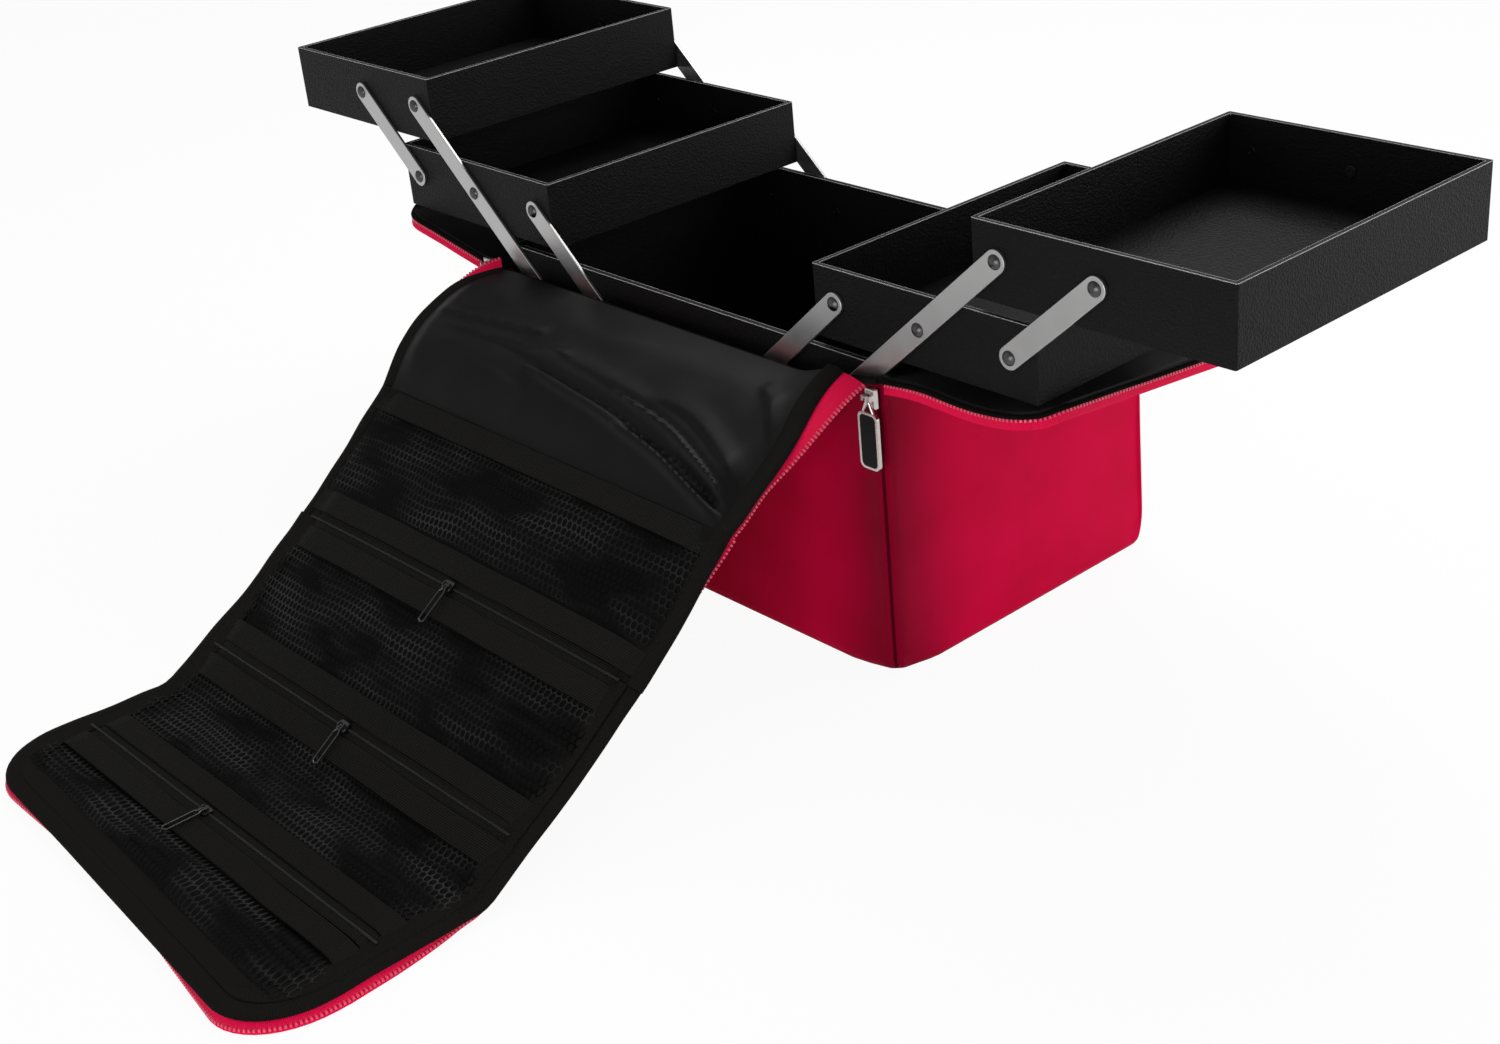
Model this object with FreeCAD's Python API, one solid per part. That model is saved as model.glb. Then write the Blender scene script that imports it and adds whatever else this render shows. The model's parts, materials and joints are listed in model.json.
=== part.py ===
# Soft-sided makeup train case with four cantilever trays, modelled fully opened out.
# Millimetres. +X is right seen from the flap side, +Y is to the back, +Z is up.
# The origin is the centre of the bag's bottom face.
import FreeCAD
import Part
import math
import os

Vec = FreeCAD.Vector
ORIGIN = Vec(0, 0, 0)
AXIS_X = Vec(1, 0, 0)
AXIS_Y = Vec(0, 1, 0)

# Trays
tray_length = 224.0
tray_height = 45.0
tray_wall = 3.0
tray_floor = 3.0
tray_edge_radius = 1.2
tray_stack_gap = 1.6
tray_centre_gap = 3.0
tray_side_inset = 8.0

# Cantilever links and their rivets
link_pitch = 80.0
link_open_reach = 60.0
link_width = 14.0
link_thickness = 2.0
link_edge_round = 0.5
link_side_gap = 0.3
pivot_from_tray_edge = 18.0
pivot_above_tray_floor = 24.0
rivet_shank_radius = 2.0
rivet_head_radius = 4.4
rivet_head_height = 2.2
rivet_flange_radius = 3.4
rivet_flange_height = 0.9
rivet_bore_radius = 1.2
rivet_bore_depth = 2.0
rivet_running_clearance = 0.05
rivet_head_gap = 0.2

# Rigid box inside the bag
box_half_width = 183.0
box_rim_height = 204.5
box_wall = 4.0
box_floor = 4.0
box_edge_radius = 2.0
tray_rim_gap = 0.6

# Padded bag around the box
pad = 7.0
bag_floor = 4.0
bag_mouth_height = 187.0
bag_corner_radius = 8.0
bag_bottom_radius = 5.0
bag_inner_radius = 3.0
box_to_bag_gap = 0.5
link_space = 6.0

# Flap in three padded panels, hinged on the front of the bag's mouth
flap_side_inset = 18.5
flap_front_length = 118.5
flap_top_length = 242.0
flap_back_length = 117.0
flap_front_slope = 24.0
flap_floor_gap = 0.6
flap_end_radius = 42.0
panel_corner_radius = 0.9
fold_gap = 0.9
back_fold_gap = 0.2
hinge_rise = 0.3

# Side collars
collar_length = 117.0
collar_half_depth = 119.0
collar_thickness = 4.0
collar_droop = 4.0
collar_corner_radius = 25.0

# Zip tapes round the edges
zip_width = 7.0
zip_thickness = 1.6
back_zip_drop = 6.0

# Mesh pockets with their zips
pocket_side_margin = 9.0
mesh_thickness = 2.6
mesh_corner_radius = 4.0
pocket_tape_width = 21.0
pocket_tape_thickness = 1.0
pocket_chain_width = 4.0
pocket_chain_height = 0.8
pocket_gap = 1.0
pocket_zip_1_place = 100.0
pocket_zip_2_place = 203.0
pocket_zip_3_place = 57.0
pocket_margin = 8.0
pocket_slider_1_x = 13.0
pocket_slider_2_x = 11.0
pocket_slider_3_x = -6.0

# Pocket zip sliders and their wire pulls
slider_length = 9.0
slider_width = 6.5
slider_height = 2.3
slider_clearance = 0.3
ear_thickness = 1.0
ear_inside = 3.8
ear_height = 2.0
ear_depth = 2.4
pull_pin_radius = 0.55
pull_pin_clearance = 0.05
pull_wire_radius = 0.6
pull_length = 26.0
pull_half_width = 2.4

# Main zip sliders and their pulls at the two front corners
main_slider_inset = 3.0
main_slider_gap = 1.3
main_slider_width = 8.0
main_slider_height = 12.0
main_slider_thickness = 3.0
main_pin_radius = 0.9
main_pin_rise = 6.0
main_slider_above_pin = 4.7
main_ear_thickness = 1.2
main_ear_inside = 4.6
main_ear_depth = 3.4
main_pull_width = 15.6
main_pull_length = 36.0
main_pull_thickness = 2.2
main_pull_neck = 9.0
main_pull_rim = 1.5
main_pull_leg_spread = 4.2
inlay_depth = 0.8

# Carrying handle on the outside of the flap's top panel
handle_span = 150.0
handle_width = 28.0
handle_thickness = 4.0
handle_rise = 17.0
handle_foot = 32.0

# Worked out from the values above
tray_half_length = tray_length / 2
tray_width = box_half_width - tray_side_inset - tray_centre_gap
pivot_spacing = tray_width / 2 - pivot_from_tray_edge
link_open_rise = math.sqrt(link_pitch**2 - link_open_reach**2)
link_closed_rise = tray_height + tray_stack_gap
link_closed_reach = math.sqrt(link_pitch**2 - link_closed_rise**2)
box_pivot_height = box_rim_height + tray_rim_gap + pivot_above_tray_floor - link_closed_rise
lower_tray_x = tray_centre_gap + link_closed_reach + link_open_reach
lower_tray_z = box_pivot_height + link_open_rise - pivot_above_tray_floor
pivot_d = lower_tray_x + pivot_from_tray_edge
pivot_c = pivot_d + pivot_spacing
pivot_f = pivot_c + pivot_spacing
pivot_a = pivot_c - link_open_reach
pivot_b = pivot_d - link_open_reach
pivot_e = pivot_c + link_open_reach
pivot_g = pivot_f + link_open_reach
lower_pivot_z = box_pivot_height + link_open_rise
upper_pivot_z = lower_pivot_z + link_open_rise
upper_tray_x = pivot_e - pivot_from_tray_edge
upper_tray_z = upper_pivot_z - pivot_above_tray_floor
rivet_hole_radius = rivet_shank_radius + rivet_running_clearance
link_face = tray_half_length + link_side_gap
bag_half_width = box_half_width + box_to_bag_gap + pad
bag_half_depth = tray_half_length + link_space + pad
flap_half_width = bag_half_width - flap_side_inset
pocket_half_width = flap_half_width - pocket_side_margin
main_slider_x = bag_half_width - main_slider_inset
hinge_y = -bag_half_depth
hinge_z = bag_mouth_height + hinge_rise


def rounded_block(x0, x1, y0, y1, z0, z1, radius):
    """A block with its upright edges rounded."""
    block = Part.makeBox(x1 - x0, y1 - y0, z1 - z0, Vec(x0, y0, z0))
    upright = [edge for edge in block.Edges if edge.BoundBox.ZLength > (z1 - z0) / 2]
    return block.makeFillet(radius, upright)


def tongue(half_width, y_near, y_far, z0, z1, radius):
    """A plate running towards -Y with its two far corners rounded."""
    plate = Part.makeBox(2 * half_width, y_near - y_far, z1 - z0, Vec(-half_width, y_far, z0))
    far = [
        edge
        for edge in plate.Edges
        if edge.BoundBox.ZLength > (z1 - z0) / 2 and edge.BoundBox.YMax < (y_near + y_far) / 2
    ]
    return plate.makeFillet(radius, far)


def y_cylinder(radius, x, y0, y1, z):
    """A round bar along Y."""
    return Part.makeCylinder(radius, y1 - y0, Vec(x, y0, z), AXIS_Y)


def x_cylinder(radius, x0, x1, y, z):
    """A round bar along X."""
    return Part.makeCylinder(radius, x1 - x0, Vec(x0, y, z), AXIS_X)


def mirrored_x(shape):
    """The same shape on the left side."""
    return shape.mirror(ORIGIN, AXIS_X)


def mirrored_y(shape):
    """The same shape at the back."""
    return shape.mirror(ORIGIN, AXIS_Y)


def open_box(outer, x0, x1, y0, y1, z_floor, z_top, wall, hole_places):
    """Hollow out a block from above and drill rivet holes through its front and rear walls."""
    hollow = Part.makeBox(
        x1 - x0 - 2 * wall, y1 - y0 - 2 * wall, z_top - z_floor, Vec(x0 + wall, y0 + wall, z_floor)
    )
    shell = outer.cut(hollow)
    for x, z in hole_places:
        shell = shell.cut(y_cylinder(rivet_hole_radius, x, y0, y0 + wall, z))
        shell = shell.cut(y_cylinder(rivet_hole_radius, x, y1 - wall, y1, z))
    return shell


def inner_box():
    """The stiff box that carries the linkage."""
    z0 = bag_floor
    outer = rounded_block(
        -box_half_width, box_half_width, -tray_half_length, tray_half_length, z0, box_rim_height,
        box_edge_radius,
    )
    places = [(side * x, box_pivot_height) for side in (-1, 1) for x in (pivot_a, pivot_b)]
    return open_box(
        outer, -box_half_width, box_half_width, -tray_half_length, tray_half_length,
        z0 + box_floor, box_rim_height, box_wall, places,
    )


def bag_body():
    """The padded fabric body, open at the mouth."""
    outer = rounded_block(
        -bag_half_width, bag_half_width, -bag_half_depth, bag_half_depth, 0, bag_mouth_height,
        bag_corner_radius,
    )
    bottom = [edge for edge in outer.Edges if edge.BoundBox.ZMax < bag_bottom_radius / 2]
    outer = outer.makeFillet(bag_bottom_radius, bottom)
    inner = rounded_block(
        pad - bag_half_width, bag_half_width - pad, pad - bag_half_depth, bag_half_depth - pad,
        bag_floor, bag_mouth_height, bag_inner_radius,
    )
    return outer.cut(inner)


def back_zip_tape():
    """Half of the main zip, sewn along the back of the mouth."""
    return Part.makeBox(
        2 * flap_half_width, zip_thickness, zip_width,
        Vec(-flap_half_width, bag_half_depth, bag_mouth_height - back_zip_drop),
    )


def tray(inner_x, bottom_z, pivots):
    """One right-hand tray: an open board box with rivet holes."""
    outer = rounded_block(
        inner_x, inner_x + tray_width, -tray_half_length, tray_half_length, bottom_z,
        bottom_z + tray_height, tray_edge_radius,
    )
    places = [(x, bottom_z + pivot_above_tray_floor) for x in pivots]
    return open_box(
        outer, inner_x, inner_x + tray_width, -tray_half_length, tray_half_length,
        bottom_z + tray_floor, bottom_z + tray_height, tray_wall, places,
    )


def front_rivet(x, z, wall):
    """A domed rivet through a link and a front wall, its hollow end set over inside the wall."""
    head = link_thickness + link_side_gap + rivet_head_gap
    cap = (rivet_head_radius**2 + rivet_head_height**2) / (2 * rivet_head_height)
    half_angle = math.asin(rivet_head_radius / cap) / 2
    dome_centre = head + rivet_head_height - cap
    middle = Vec(cap * math.sin(half_angle), 0, dome_centre + cap * math.cos(half_angle))
    corners = [
        Vec(rivet_head_radius, 0, head),
        Vec(rivet_shank_radius, 0, head),
        Vec(rivet_shank_radius, 0, -wall),
        Vec(rivet_flange_radius, 0, -wall),
        Vec(rivet_flange_radius, 0, -wall - rivet_flange_height),
        Vec(rivet_bore_radius, 0, -wall - rivet_flange_height),
        Vec(rivet_bore_radius, 0, rivet_bore_depth - wall - rivet_flange_height),
        Vec(0, 0, rivet_bore_depth - wall - rivet_flange_height),
        Vec(0, 0, head + rivet_head_height),
    ]
    edges = [Part.LineSegment(a, b).toShape() for a, b in zip(corners, corners[1:])]
    edges.append(Part.Arc(corners[-1], middle, corners[0]).toShape())
    rivet = Part.Face(Part.Wire(edges)).revolve(ORIGIN, Vec(0, 0, 1), 360)
    rivet.rotate(ORIGIN, AXIS_X, 90)
    rivet.translate(Vec(x, -tray_half_length, z))
    return rivet


def rivet_group(xs, z, wall):
    """The same rivets on the front and rear walls."""
    front = [front_rivet(x, z, wall) for x in xs]
    return Part.makeCompound(front + [mirrored_y(rivet) for rivet in front])


def front_link(x, z, pivots):
    """A flat aluminium strip with round ends, leaning outward from its lowest pivot."""
    radius = link_width / 2
    reach = link_pitch * (pivots - 1)
    edges = [
        Part.LineSegment(Vec(0, 0, radius), Vec(reach, 0, radius)).toShape(),
        Part.Arc(Vec(reach, 0, radius), Vec(reach + radius, 0, 0), Vec(reach, 0, -radius)).toShape(),
        Part.LineSegment(Vec(reach, 0, -radius), Vec(0, 0, -radius)).toShape(),
        Part.Arc(Vec(0, 0, -radius), Vec(-radius, 0, 0), Vec(0, 0, radius)).toShape(),
    ]
    strip = Part.Face(Part.Wire(edges)).extrude(Vec(0, -link_thickness, 0))
    outer_edges = [edge for edge in strip.Edges if edge.BoundBox.YMax < -link_thickness / 2]
    strip = strip.makeFillet(link_edge_round, outer_edges)
    for index in range(pivots):
        strip = strip.cut(y_cylinder(rivet_hole_radius, index * link_pitch, -link_thickness, 0, 0))
    strip.rotate(ORIGIN, AXIS_Y, -math.degrees(math.atan2(link_open_rise, link_open_reach)))
    strip.translate(Vec(x, -link_face, z))
    return strip


def lay_flap(shape, y, z, slope):
    """Turn a panel drawn flat towards -Y down by its slope and move it to its fold line."""
    laid = shape.copy()
    laid.rotate(ORIGIN, AXIS_X, slope)
    laid.translate(Vec(0, y, z))
    return laid


def edge_zips(y_near, y_far, z_middle):
    """Half of the main zip along the two long edges of a flap panel."""
    right = Part.makeBox(
        zip_width, y_near - y_far, zip_thickness, Vec(flap_half_width, y_far, z_middle - zip_thickness / 2)
    )
    return Part.makeCompound([right, mirrored_x(right)])


def end_zip(y_near, y_far, z_middle):
    """Half of the main zip round the end of the flap."""
    z0 = z_middle - zip_thickness / 2
    z1 = z_middle + zip_thickness / 2
    outer_radius = flap_end_radius + zip_width
    outer = tongue(flap_half_width + zip_width, y_near, y_far - zip_width, z0, z1, outer_radius)
    return outer.cut(tongue(flap_half_width, y_near, y_far, z0, z1, flap_end_radius))


def mesh_pocket(y_near, y_far):
    """A net pocket lying on the lining."""
    return rounded_block(
        -pocket_half_width, pocket_half_width, y_far, y_near, 0, mesh_thickness, mesh_corner_radius
    )


def last_mesh_pocket(y_near, y_far):
    """The net pocket at the end of the flap, rounded like the flap."""
    return tongue(pocket_half_width, y_near, y_far, 0, mesh_thickness, flap_end_radius - pocket_margin)


def pocket_zip(place):
    """A pocket zip: a tape with its raised chain."""
    tape = Part.makeBox(
        2 * pocket_half_width, pocket_tape_width, pocket_tape_thickness,
        Vec(-pocket_half_width, -place - pocket_tape_width / 2, 0),
    )
    chain = Part.makeBox(
        2 * pocket_half_width, pocket_chain_width, pocket_chain_height,
        Vec(-pocket_half_width, -place - pocket_chain_width / 2, pocket_tape_thickness),
    )
    return tape.fuse(chain).removeSplitter()


slider_base = pocket_tape_thickness + slider_clearance
slider_top = slider_base + slider_height
pull_axis_height = slider_top + ear_height / 2


def pocket_slider(x, place):
    """A zip slider straddling the chain, with two ears for its pull."""
    body = rounded_block(
        x - slider_length / 2, x + slider_length / 2, -place - slider_width / 2, -place + slider_width / 2,
        slider_base, slider_top, slider_width / 4,
    )
    groove = Part.makeBox(
        slider_length, pocket_chain_width + 2 * slider_clearance, pocket_chain_height,
        Vec(x - slider_length / 2, -place - pocket_chain_width / 2 - slider_clearance, slider_base),
    )
    body = body.cut(groove)
    for side in (-1, 1):
        ear_x = x + side * (ear_inside + ear_thickness) / 2
        ear = Part.makeBox(
            ear_thickness, ear_depth, ear_height,
            Vec(ear_x - ear_thickness / 2, -place - ear_depth / 2, slider_top),
        )
        body = body.fuse(ear)
    pin_room = ear_inside + 2 * ear_thickness
    hole = x_cylinder(
        pull_pin_radius + pull_pin_clearance, x - pin_room / 2, x + pin_room / 2, -place, pull_axis_height
    )
    return body.cut(hole).removeSplitter()


def pocket_pull(x, place):
    """A wire pull: a pin between the slider's ears and a long loop hanging from it."""
    pin_half = ear_inside / 2 + ear_thickness
    neck_half = ear_inside / 2 - pull_wire_radius - slider_clearance
    shoulder = -place - ear_depth - pull_wire_radius
    far = -place - pull_length
    pull = x_cylinder(pull_pin_radius, x - pin_half, x + pin_half, -place, pull_axis_height)
    for side in (-1, 1):
        route = [
            Vec(x + side * neck_half, -place, pull_axis_height),
            Vec(x + side * neck_half, shoulder, pull_axis_height),
            Vec(x + side * pull_half_width, shoulder - pull_half_width, pull_axis_height),
            Vec(x + side * pull_half_width, far, pull_axis_height),
            Vec(x, far - pull_half_width / 2, pull_axis_height),
        ]
        for start, stop in zip(route, route[1:]):
            run = stop - start
            pull = pull.fuse(Part.makeCylinder(pull_wire_radius, run.Length, start, run))
        for corner in route[1:]:
            pull = pull.fuse(Part.makeSphere(pull_wire_radius, corner))
    return pull


def collar_piece(z0, z1):
    """One layer of the right collar, drawn level with its hinge line on the Y axis."""
    layer = Part.makeBox(
        collar_length - fold_gap, 2 * collar_half_depth, z1 - z0, Vec(fold_gap, -collar_half_depth, z0)
    )
    outer = [
        edge
        for edge in layer.Edges
        if edge.BoundBox.ZLength > (z1 - z0) / 2 and edge.BoundBox.XMin > collar_length / 2
    ]
    return layer.makeFillet(collar_corner_radius, outer)


def collar_zip():
    """Half of the main zip round the three free edges of the right collar."""
    z0 = (collar_thickness - zip_thickness) / 2
    outer_length = collar_length + zip_width
    half = collar_half_depth + zip_width
    band = Part.makeBox(outer_length - fold_gap, 2 * half, zip_thickness, Vec(fold_gap, -half, z0))
    corners = [
        edge
        for edge in band.Edges
        if edge.BoundBox.ZLength > zip_thickness / 2 and edge.BoundBox.XMin > collar_length / 2
    ]
    band = band.makeFillet(collar_corner_radius + zip_width, corners)
    return band.cut(collar_piece(0, collar_thickness))


def lay_collar(shape):
    """Move a collar layer out to the right side of the mouth and let it droop."""
    laid = shape.copy()
    laid.rotate(ORIGIN, AXIS_Y, collar_droop)
    laid.translate(Vec(bag_half_width, 0, hinge_z))
    return laid


main_pin_y = hinge_y - main_slider_gap - main_slider_thickness - main_ear_depth / 2
main_pin_z = bag_mouth_height + main_pin_rise


def main_slider():
    """The right main slider, parked at the front corner of the mouth."""
    y_front = hinge_y - main_slider_gap - main_slider_thickness
    z_bottom = main_pin_z + main_slider_above_pin - main_slider_height
    body = Part.makeBox(
        main_slider_width, main_slider_thickness, main_slider_height,
        Vec(main_slider_x - main_slider_width / 2, y_front, z_bottom),
    )
    front = [edge for edge in body.Edges if edge.BoundBox.YMax < y_front + main_slider_thickness / 2]
    body = body.makeFillet(main_slider_thickness / 3, front)
    for side in (-1, 1):
        ear_x = main_slider_x + side * (main_ear_inside + main_ear_thickness) / 2
        ear = Part.makeBox(
            main_ear_thickness, main_ear_depth + main_slider_thickness / 2, main_ear_depth,
            Vec(ear_x - main_ear_thickness / 2, y_front - main_ear_depth, main_pin_z - main_ear_depth / 2),
        )
        body = body.fuse(ear)
    pin_room = main_ear_inside + 2 * main_ear_thickness
    hole = x_cylinder(
        main_pin_radius + pull_pin_clearance, main_slider_x - pin_room / 2, main_slider_x + pin_room / 2,
        main_pin_y, main_pin_z,
    )
    return body.cut(hole).removeSplitter()


def pull_plate(half_width, z0, z1, y0, y1, radius):
    """An upright plate with all four corners rounded."""
    plate = Part.makeBox(2 * half_width, y1 - y0, z1 - z0, Vec(main_slider_x - half_width, y0, z0))
    corners = [edge for edge in plate.Edges if edge.BoundBox.YLength > (y1 - y0) / 2]
    return plate.makeFillet(radius, corners)


pull_top = main_pin_z - main_pull_neck
pull_bottom = pull_top - main_pull_length
pull_front = main_pin_y - main_pull_thickness / 2
pull_back = main_pin_y + main_pull_thickness / 2
inlay_half_width = main_pull_width / 2 - main_pull_rim


def main_pull_inlay():
    """The dark plate set into the front of the right main pull."""
    return pull_plate(
        inlay_half_width, pull_bottom + main_pull_rim, pull_top - main_pull_rim, pull_front,
        pull_front + inlay_depth, inlay_half_width / 2,
    )


def main_pull():
    """The right main pull: a pin, an open wire loop and a framed plate."""
    corner_radius = main_pull_width / 4
    pull = pull_plate(main_pull_width / 2, pull_bottom, pull_top, pull_front, pull_back, corner_radius)
    pull = pull.cut(main_pull_inlay())
    pin_half = main_ear_inside / 2 + main_ear_thickness
    pin_ends = (main_slider_x - pin_half, main_slider_x + pin_half)
    pull = pull.fuse(x_cylinder(main_pin_radius, *pin_ends, main_pin_y, main_pin_z))
    leg_x = main_ear_inside / 2 - main_pin_radius - slider_clearance
    shoulder_z = main_pin_z - main_ear_depth / 2 - main_pin_radius
    foot_z = pull_top - main_pull_rim / 2
    for side in (-1, 1):
        route = [
            Vec(main_slider_x + side * leg_x, main_pin_y, main_pin_z),
            Vec(main_slider_x + side * leg_x, main_pin_y, shoulder_z),
            Vec(main_slider_x + side * main_pull_leg_spread, main_pin_y, foot_z),
        ]
        for start, stop in zip(route, route[1:]):
            run = stop - start
            pull = pull.fuse(Part.makeCylinder(main_pin_radius, run.Length, start, run))
        pull = pull.fuse(Part.makeSphere(main_pin_radius, route[1]))
    return pull.removeSplitter()


def carry_handle():
    """A webbing handle arched over the outside of the top panel, sewn down at both feet."""
    half = handle_span / 2
    outer = [Vec(-half, 0, 0), Vec(0, 0, -handle_rise), Vec(half, 0, 0)]
    inner_half = half - handle_thickness
    inner = [Vec(inner_half, 0, 0), Vec(0, 0, handle_thickness - handle_rise), Vec(-inner_half, 0, 0)]
    edges = [
        Part.Arc(*outer).toShape(),
        Part.LineSegment(outer[2], inner[0]).toShape(),
        Part.Arc(*inner).toShape(),
        Part.LineSegment(inner[2], outer[0]).toShape(),
    ]
    handle = Part.Face(Part.Wire(edges)).extrude(Vec(0, handle_width, 0))
    for side in (-1, 1):
        foot_x = side * (half + handle_foot / 2 - handle_thickness) - handle_foot / 2
        foot = Part.makeBox(
            handle_foot, handle_width, handle_thickness / 2, Vec(foot_x, 0, -handle_thickness / 2)
        )
        handle = handle.fuse(foot)
    handle = handle.removeSplitter()
    handle.translate(Vec(0, -flap_top_length / 2 - handle_width / 2, -pad))
    return handle


# Fold lines of the flap, from the mouth outward
front_run = math.radians(flap_front_slope)
fold_1_y = hinge_y - flap_front_length * math.cos(front_run) - pad * math.sin(front_run)
fold_1_z = hinge_z - flap_front_length * math.sin(front_run) + pad * math.cos(front_run)
fold_2_z = flap_floor_gap + pad
flap_top_slope = math.degrees(math.asin((fold_1_z - fold_2_z) / flap_top_length))
fold_2_y = fold_1_y - flap_top_length * math.cos(math.radians(flap_top_slope))


def flap_front_parts():
    """The plain panel next to the mouth; its hinge line lies on its outer face."""
    near = -fold_gap
    far = fold_gap - flap_front_length
    parts = {
        "flap_front_cover": tongue(flap_half_width, near, far, 0, pad / 2, panel_corner_radius),
        "flap_front_lining": tongue(flap_half_width, near, far, pad / 2, pad, panel_corner_radius),
        "flap_front_zip": edge_zips(near, far, pad / 2),
    }
    return {name: lay_flap(shape, hinge_y, hinge_z, flap_front_slope) for name, shape in parts.items()}


def flap_top_parts():
    """The panel that covers the top of the closed case, with two net pockets inside."""
    near = -fold_gap
    far = back_fold_gap - flap_top_length
    half_tape = pocket_tape_width / 2 + pocket_gap
    parts = {
        "flap_top_cover": tongue(flap_half_width, near, far, -pad, -pad / 2, panel_corner_radius),
        "flap_top_lining": tongue(flap_half_width, near, far, -pad / 2, 0, panel_corner_radius),
        "flap_top_zip": edge_zips(near, far, -pad / 2),
        "pocket_mesh_1": mesh_pocket(-pocket_margin, half_tape - pocket_zip_1_place),
        "pocket_mesh_2": mesh_pocket(-half_tape - pocket_zip_1_place, half_tape - pocket_zip_2_place),
        "pocket_zip_1": pocket_zip(pocket_zip_1_place),
        "pocket_zip_2": pocket_zip(pocket_zip_2_place),
        "pocket_slider_1": pocket_slider(pocket_slider_1_x, pocket_zip_1_place),
        "pocket_slider_2": pocket_slider(pocket_slider_2_x, pocket_zip_2_place),
        "pocket_pull_1": pocket_pull(pocket_slider_1_x, pocket_zip_1_place),
        "pocket_pull_2": pocket_pull(pocket_slider_2_x, pocket_zip_2_place),
        "carry_handle": carry_handle(),
    }
    return {name: lay_flap(shape, fold_1_y, fold_1_z, flap_top_slope) for name, shape in parts.items()}


def flap_back_parts():
    """The panel that closes down the back, lying on the table when open."""
    near = -back_fold_gap
    far = -flap_back_length
    half_tape = pocket_tape_width / 2 + pocket_gap
    parts = {
        "flap_back_cover": tongue(flap_half_width, near, far, -pad, -pad / 2, flap_end_radius),
        "flap_back_lining": tongue(flap_half_width, near, far, -pad / 2, 0, flap_end_radius),
        "flap_back_zip": end_zip(near, far, -pad / 2),
        "pocket_mesh_3": mesh_pocket(-pocket_margin, half_tape - pocket_zip_3_place),
        "pocket_mesh_4": last_mesh_pocket(-half_tape - pocket_zip_3_place, far + pocket_margin),
        "pocket_zip_3": pocket_zip(pocket_zip_3_place),
        "pocket_slider_3": pocket_slider(pocket_slider_3_x, pocket_zip_3_place),
        "pocket_pull_3": pocket_pull(pocket_slider_3_x, pocket_zip_3_place),
    }
    return {name: lay_flap(shape, fold_2_y, fold_2_z, 0) for name, shape in parts.items()}


def case_parts():
    """The bag, the box in it and the rivets that carry the linkage."""
    right_rivets = rivet_group((pivot_a, pivot_b), box_pivot_height, box_wall)
    return {
        "bag_body": bag_body(),
        "inner_box": inner_box(),
        "back_zip_tape": back_zip_tape(),
        "box_rivets": Part.makeCompound(right_rivets.Solids + mirrored_x(right_rivets).Solids),
    }


def right_side_parts():
    """Everything that has a mirrored twin on the left."""
    links = {
        "long_link": front_link(pivot_a, box_pivot_height, 3),
        "lower_link": front_link(pivot_b, box_pivot_height, 2),
        "upper_link": front_link(pivot_f, lower_pivot_z, 2),
    }
    parts = {
        "lower_tray": tray(lower_tray_x, lower_tray_z, (pivot_c, pivot_d, pivot_f)),
        "upper_tray": tray(upper_tray_x, upper_tray_z, (pivot_e, pivot_g)),
        "lower_tray_rivets": rivet_group((pivot_c, pivot_d, pivot_f), lower_pivot_z, tray_wall),
        "upper_tray_rivets": rivet_group((pivot_e, pivot_g), upper_pivot_z, tray_wall),
        "collar_cover": lay_collar(collar_piece(0, collar_thickness / 2)),
        "collar_lining": lay_collar(collar_piece(collar_thickness / 2, collar_thickness)),
        "collar_zip": lay_collar(collar_zip()),
        "main_slider": main_slider(),
        "main_pull": main_pull(),
        "main_pull_inlay": main_pull_inlay(),
    }
    for name, strip in links.items():
        parts[name + "_front"] = strip
        parts[name + "_rear"] = mirrored_y(strip)
    return parts


def main():
    os.makedirs("parts", exist_ok=True)
    parts = case_parts()
    for name, shape in right_side_parts().items():
        parts["right_" + name] = shape
        parts["left_" + name] = mirrored_x(shape)
    for group in (flap_front_parts(), flap_top_parts(), flap_back_parts()):
        parts.update(group)
    for name, shape in parts.items():
        shape.exportStep("parts/" + name + ".step")


main()
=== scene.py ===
"""Looks of a soft makeup train case with four cantilever trays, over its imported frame."""
import json
from itertools import accumulate
from math import asin, cos, exp, pi, radians, sin, sqrt, tau

import bmesh
import bpy
from mathutils import Matrix, Vector, noise


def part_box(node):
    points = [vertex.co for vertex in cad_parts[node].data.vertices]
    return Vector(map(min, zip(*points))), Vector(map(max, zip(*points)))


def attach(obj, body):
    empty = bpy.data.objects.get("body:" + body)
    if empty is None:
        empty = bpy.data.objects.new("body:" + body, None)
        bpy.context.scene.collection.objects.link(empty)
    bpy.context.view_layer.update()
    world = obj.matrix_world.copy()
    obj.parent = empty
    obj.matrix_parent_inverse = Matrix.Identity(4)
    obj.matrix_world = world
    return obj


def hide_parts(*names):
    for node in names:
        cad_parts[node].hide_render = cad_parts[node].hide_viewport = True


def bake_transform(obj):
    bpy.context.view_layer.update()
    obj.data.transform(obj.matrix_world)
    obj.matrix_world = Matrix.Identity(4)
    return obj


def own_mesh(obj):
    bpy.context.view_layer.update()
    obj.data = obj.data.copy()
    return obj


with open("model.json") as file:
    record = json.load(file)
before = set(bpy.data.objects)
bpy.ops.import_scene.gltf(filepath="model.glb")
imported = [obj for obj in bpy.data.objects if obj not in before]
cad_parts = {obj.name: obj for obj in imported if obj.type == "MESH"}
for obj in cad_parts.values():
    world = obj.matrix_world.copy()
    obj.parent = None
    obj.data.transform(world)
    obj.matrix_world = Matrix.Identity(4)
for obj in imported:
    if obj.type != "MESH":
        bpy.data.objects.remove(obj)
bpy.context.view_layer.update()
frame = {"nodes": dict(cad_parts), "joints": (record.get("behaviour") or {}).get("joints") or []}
MM = 0.001

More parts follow.
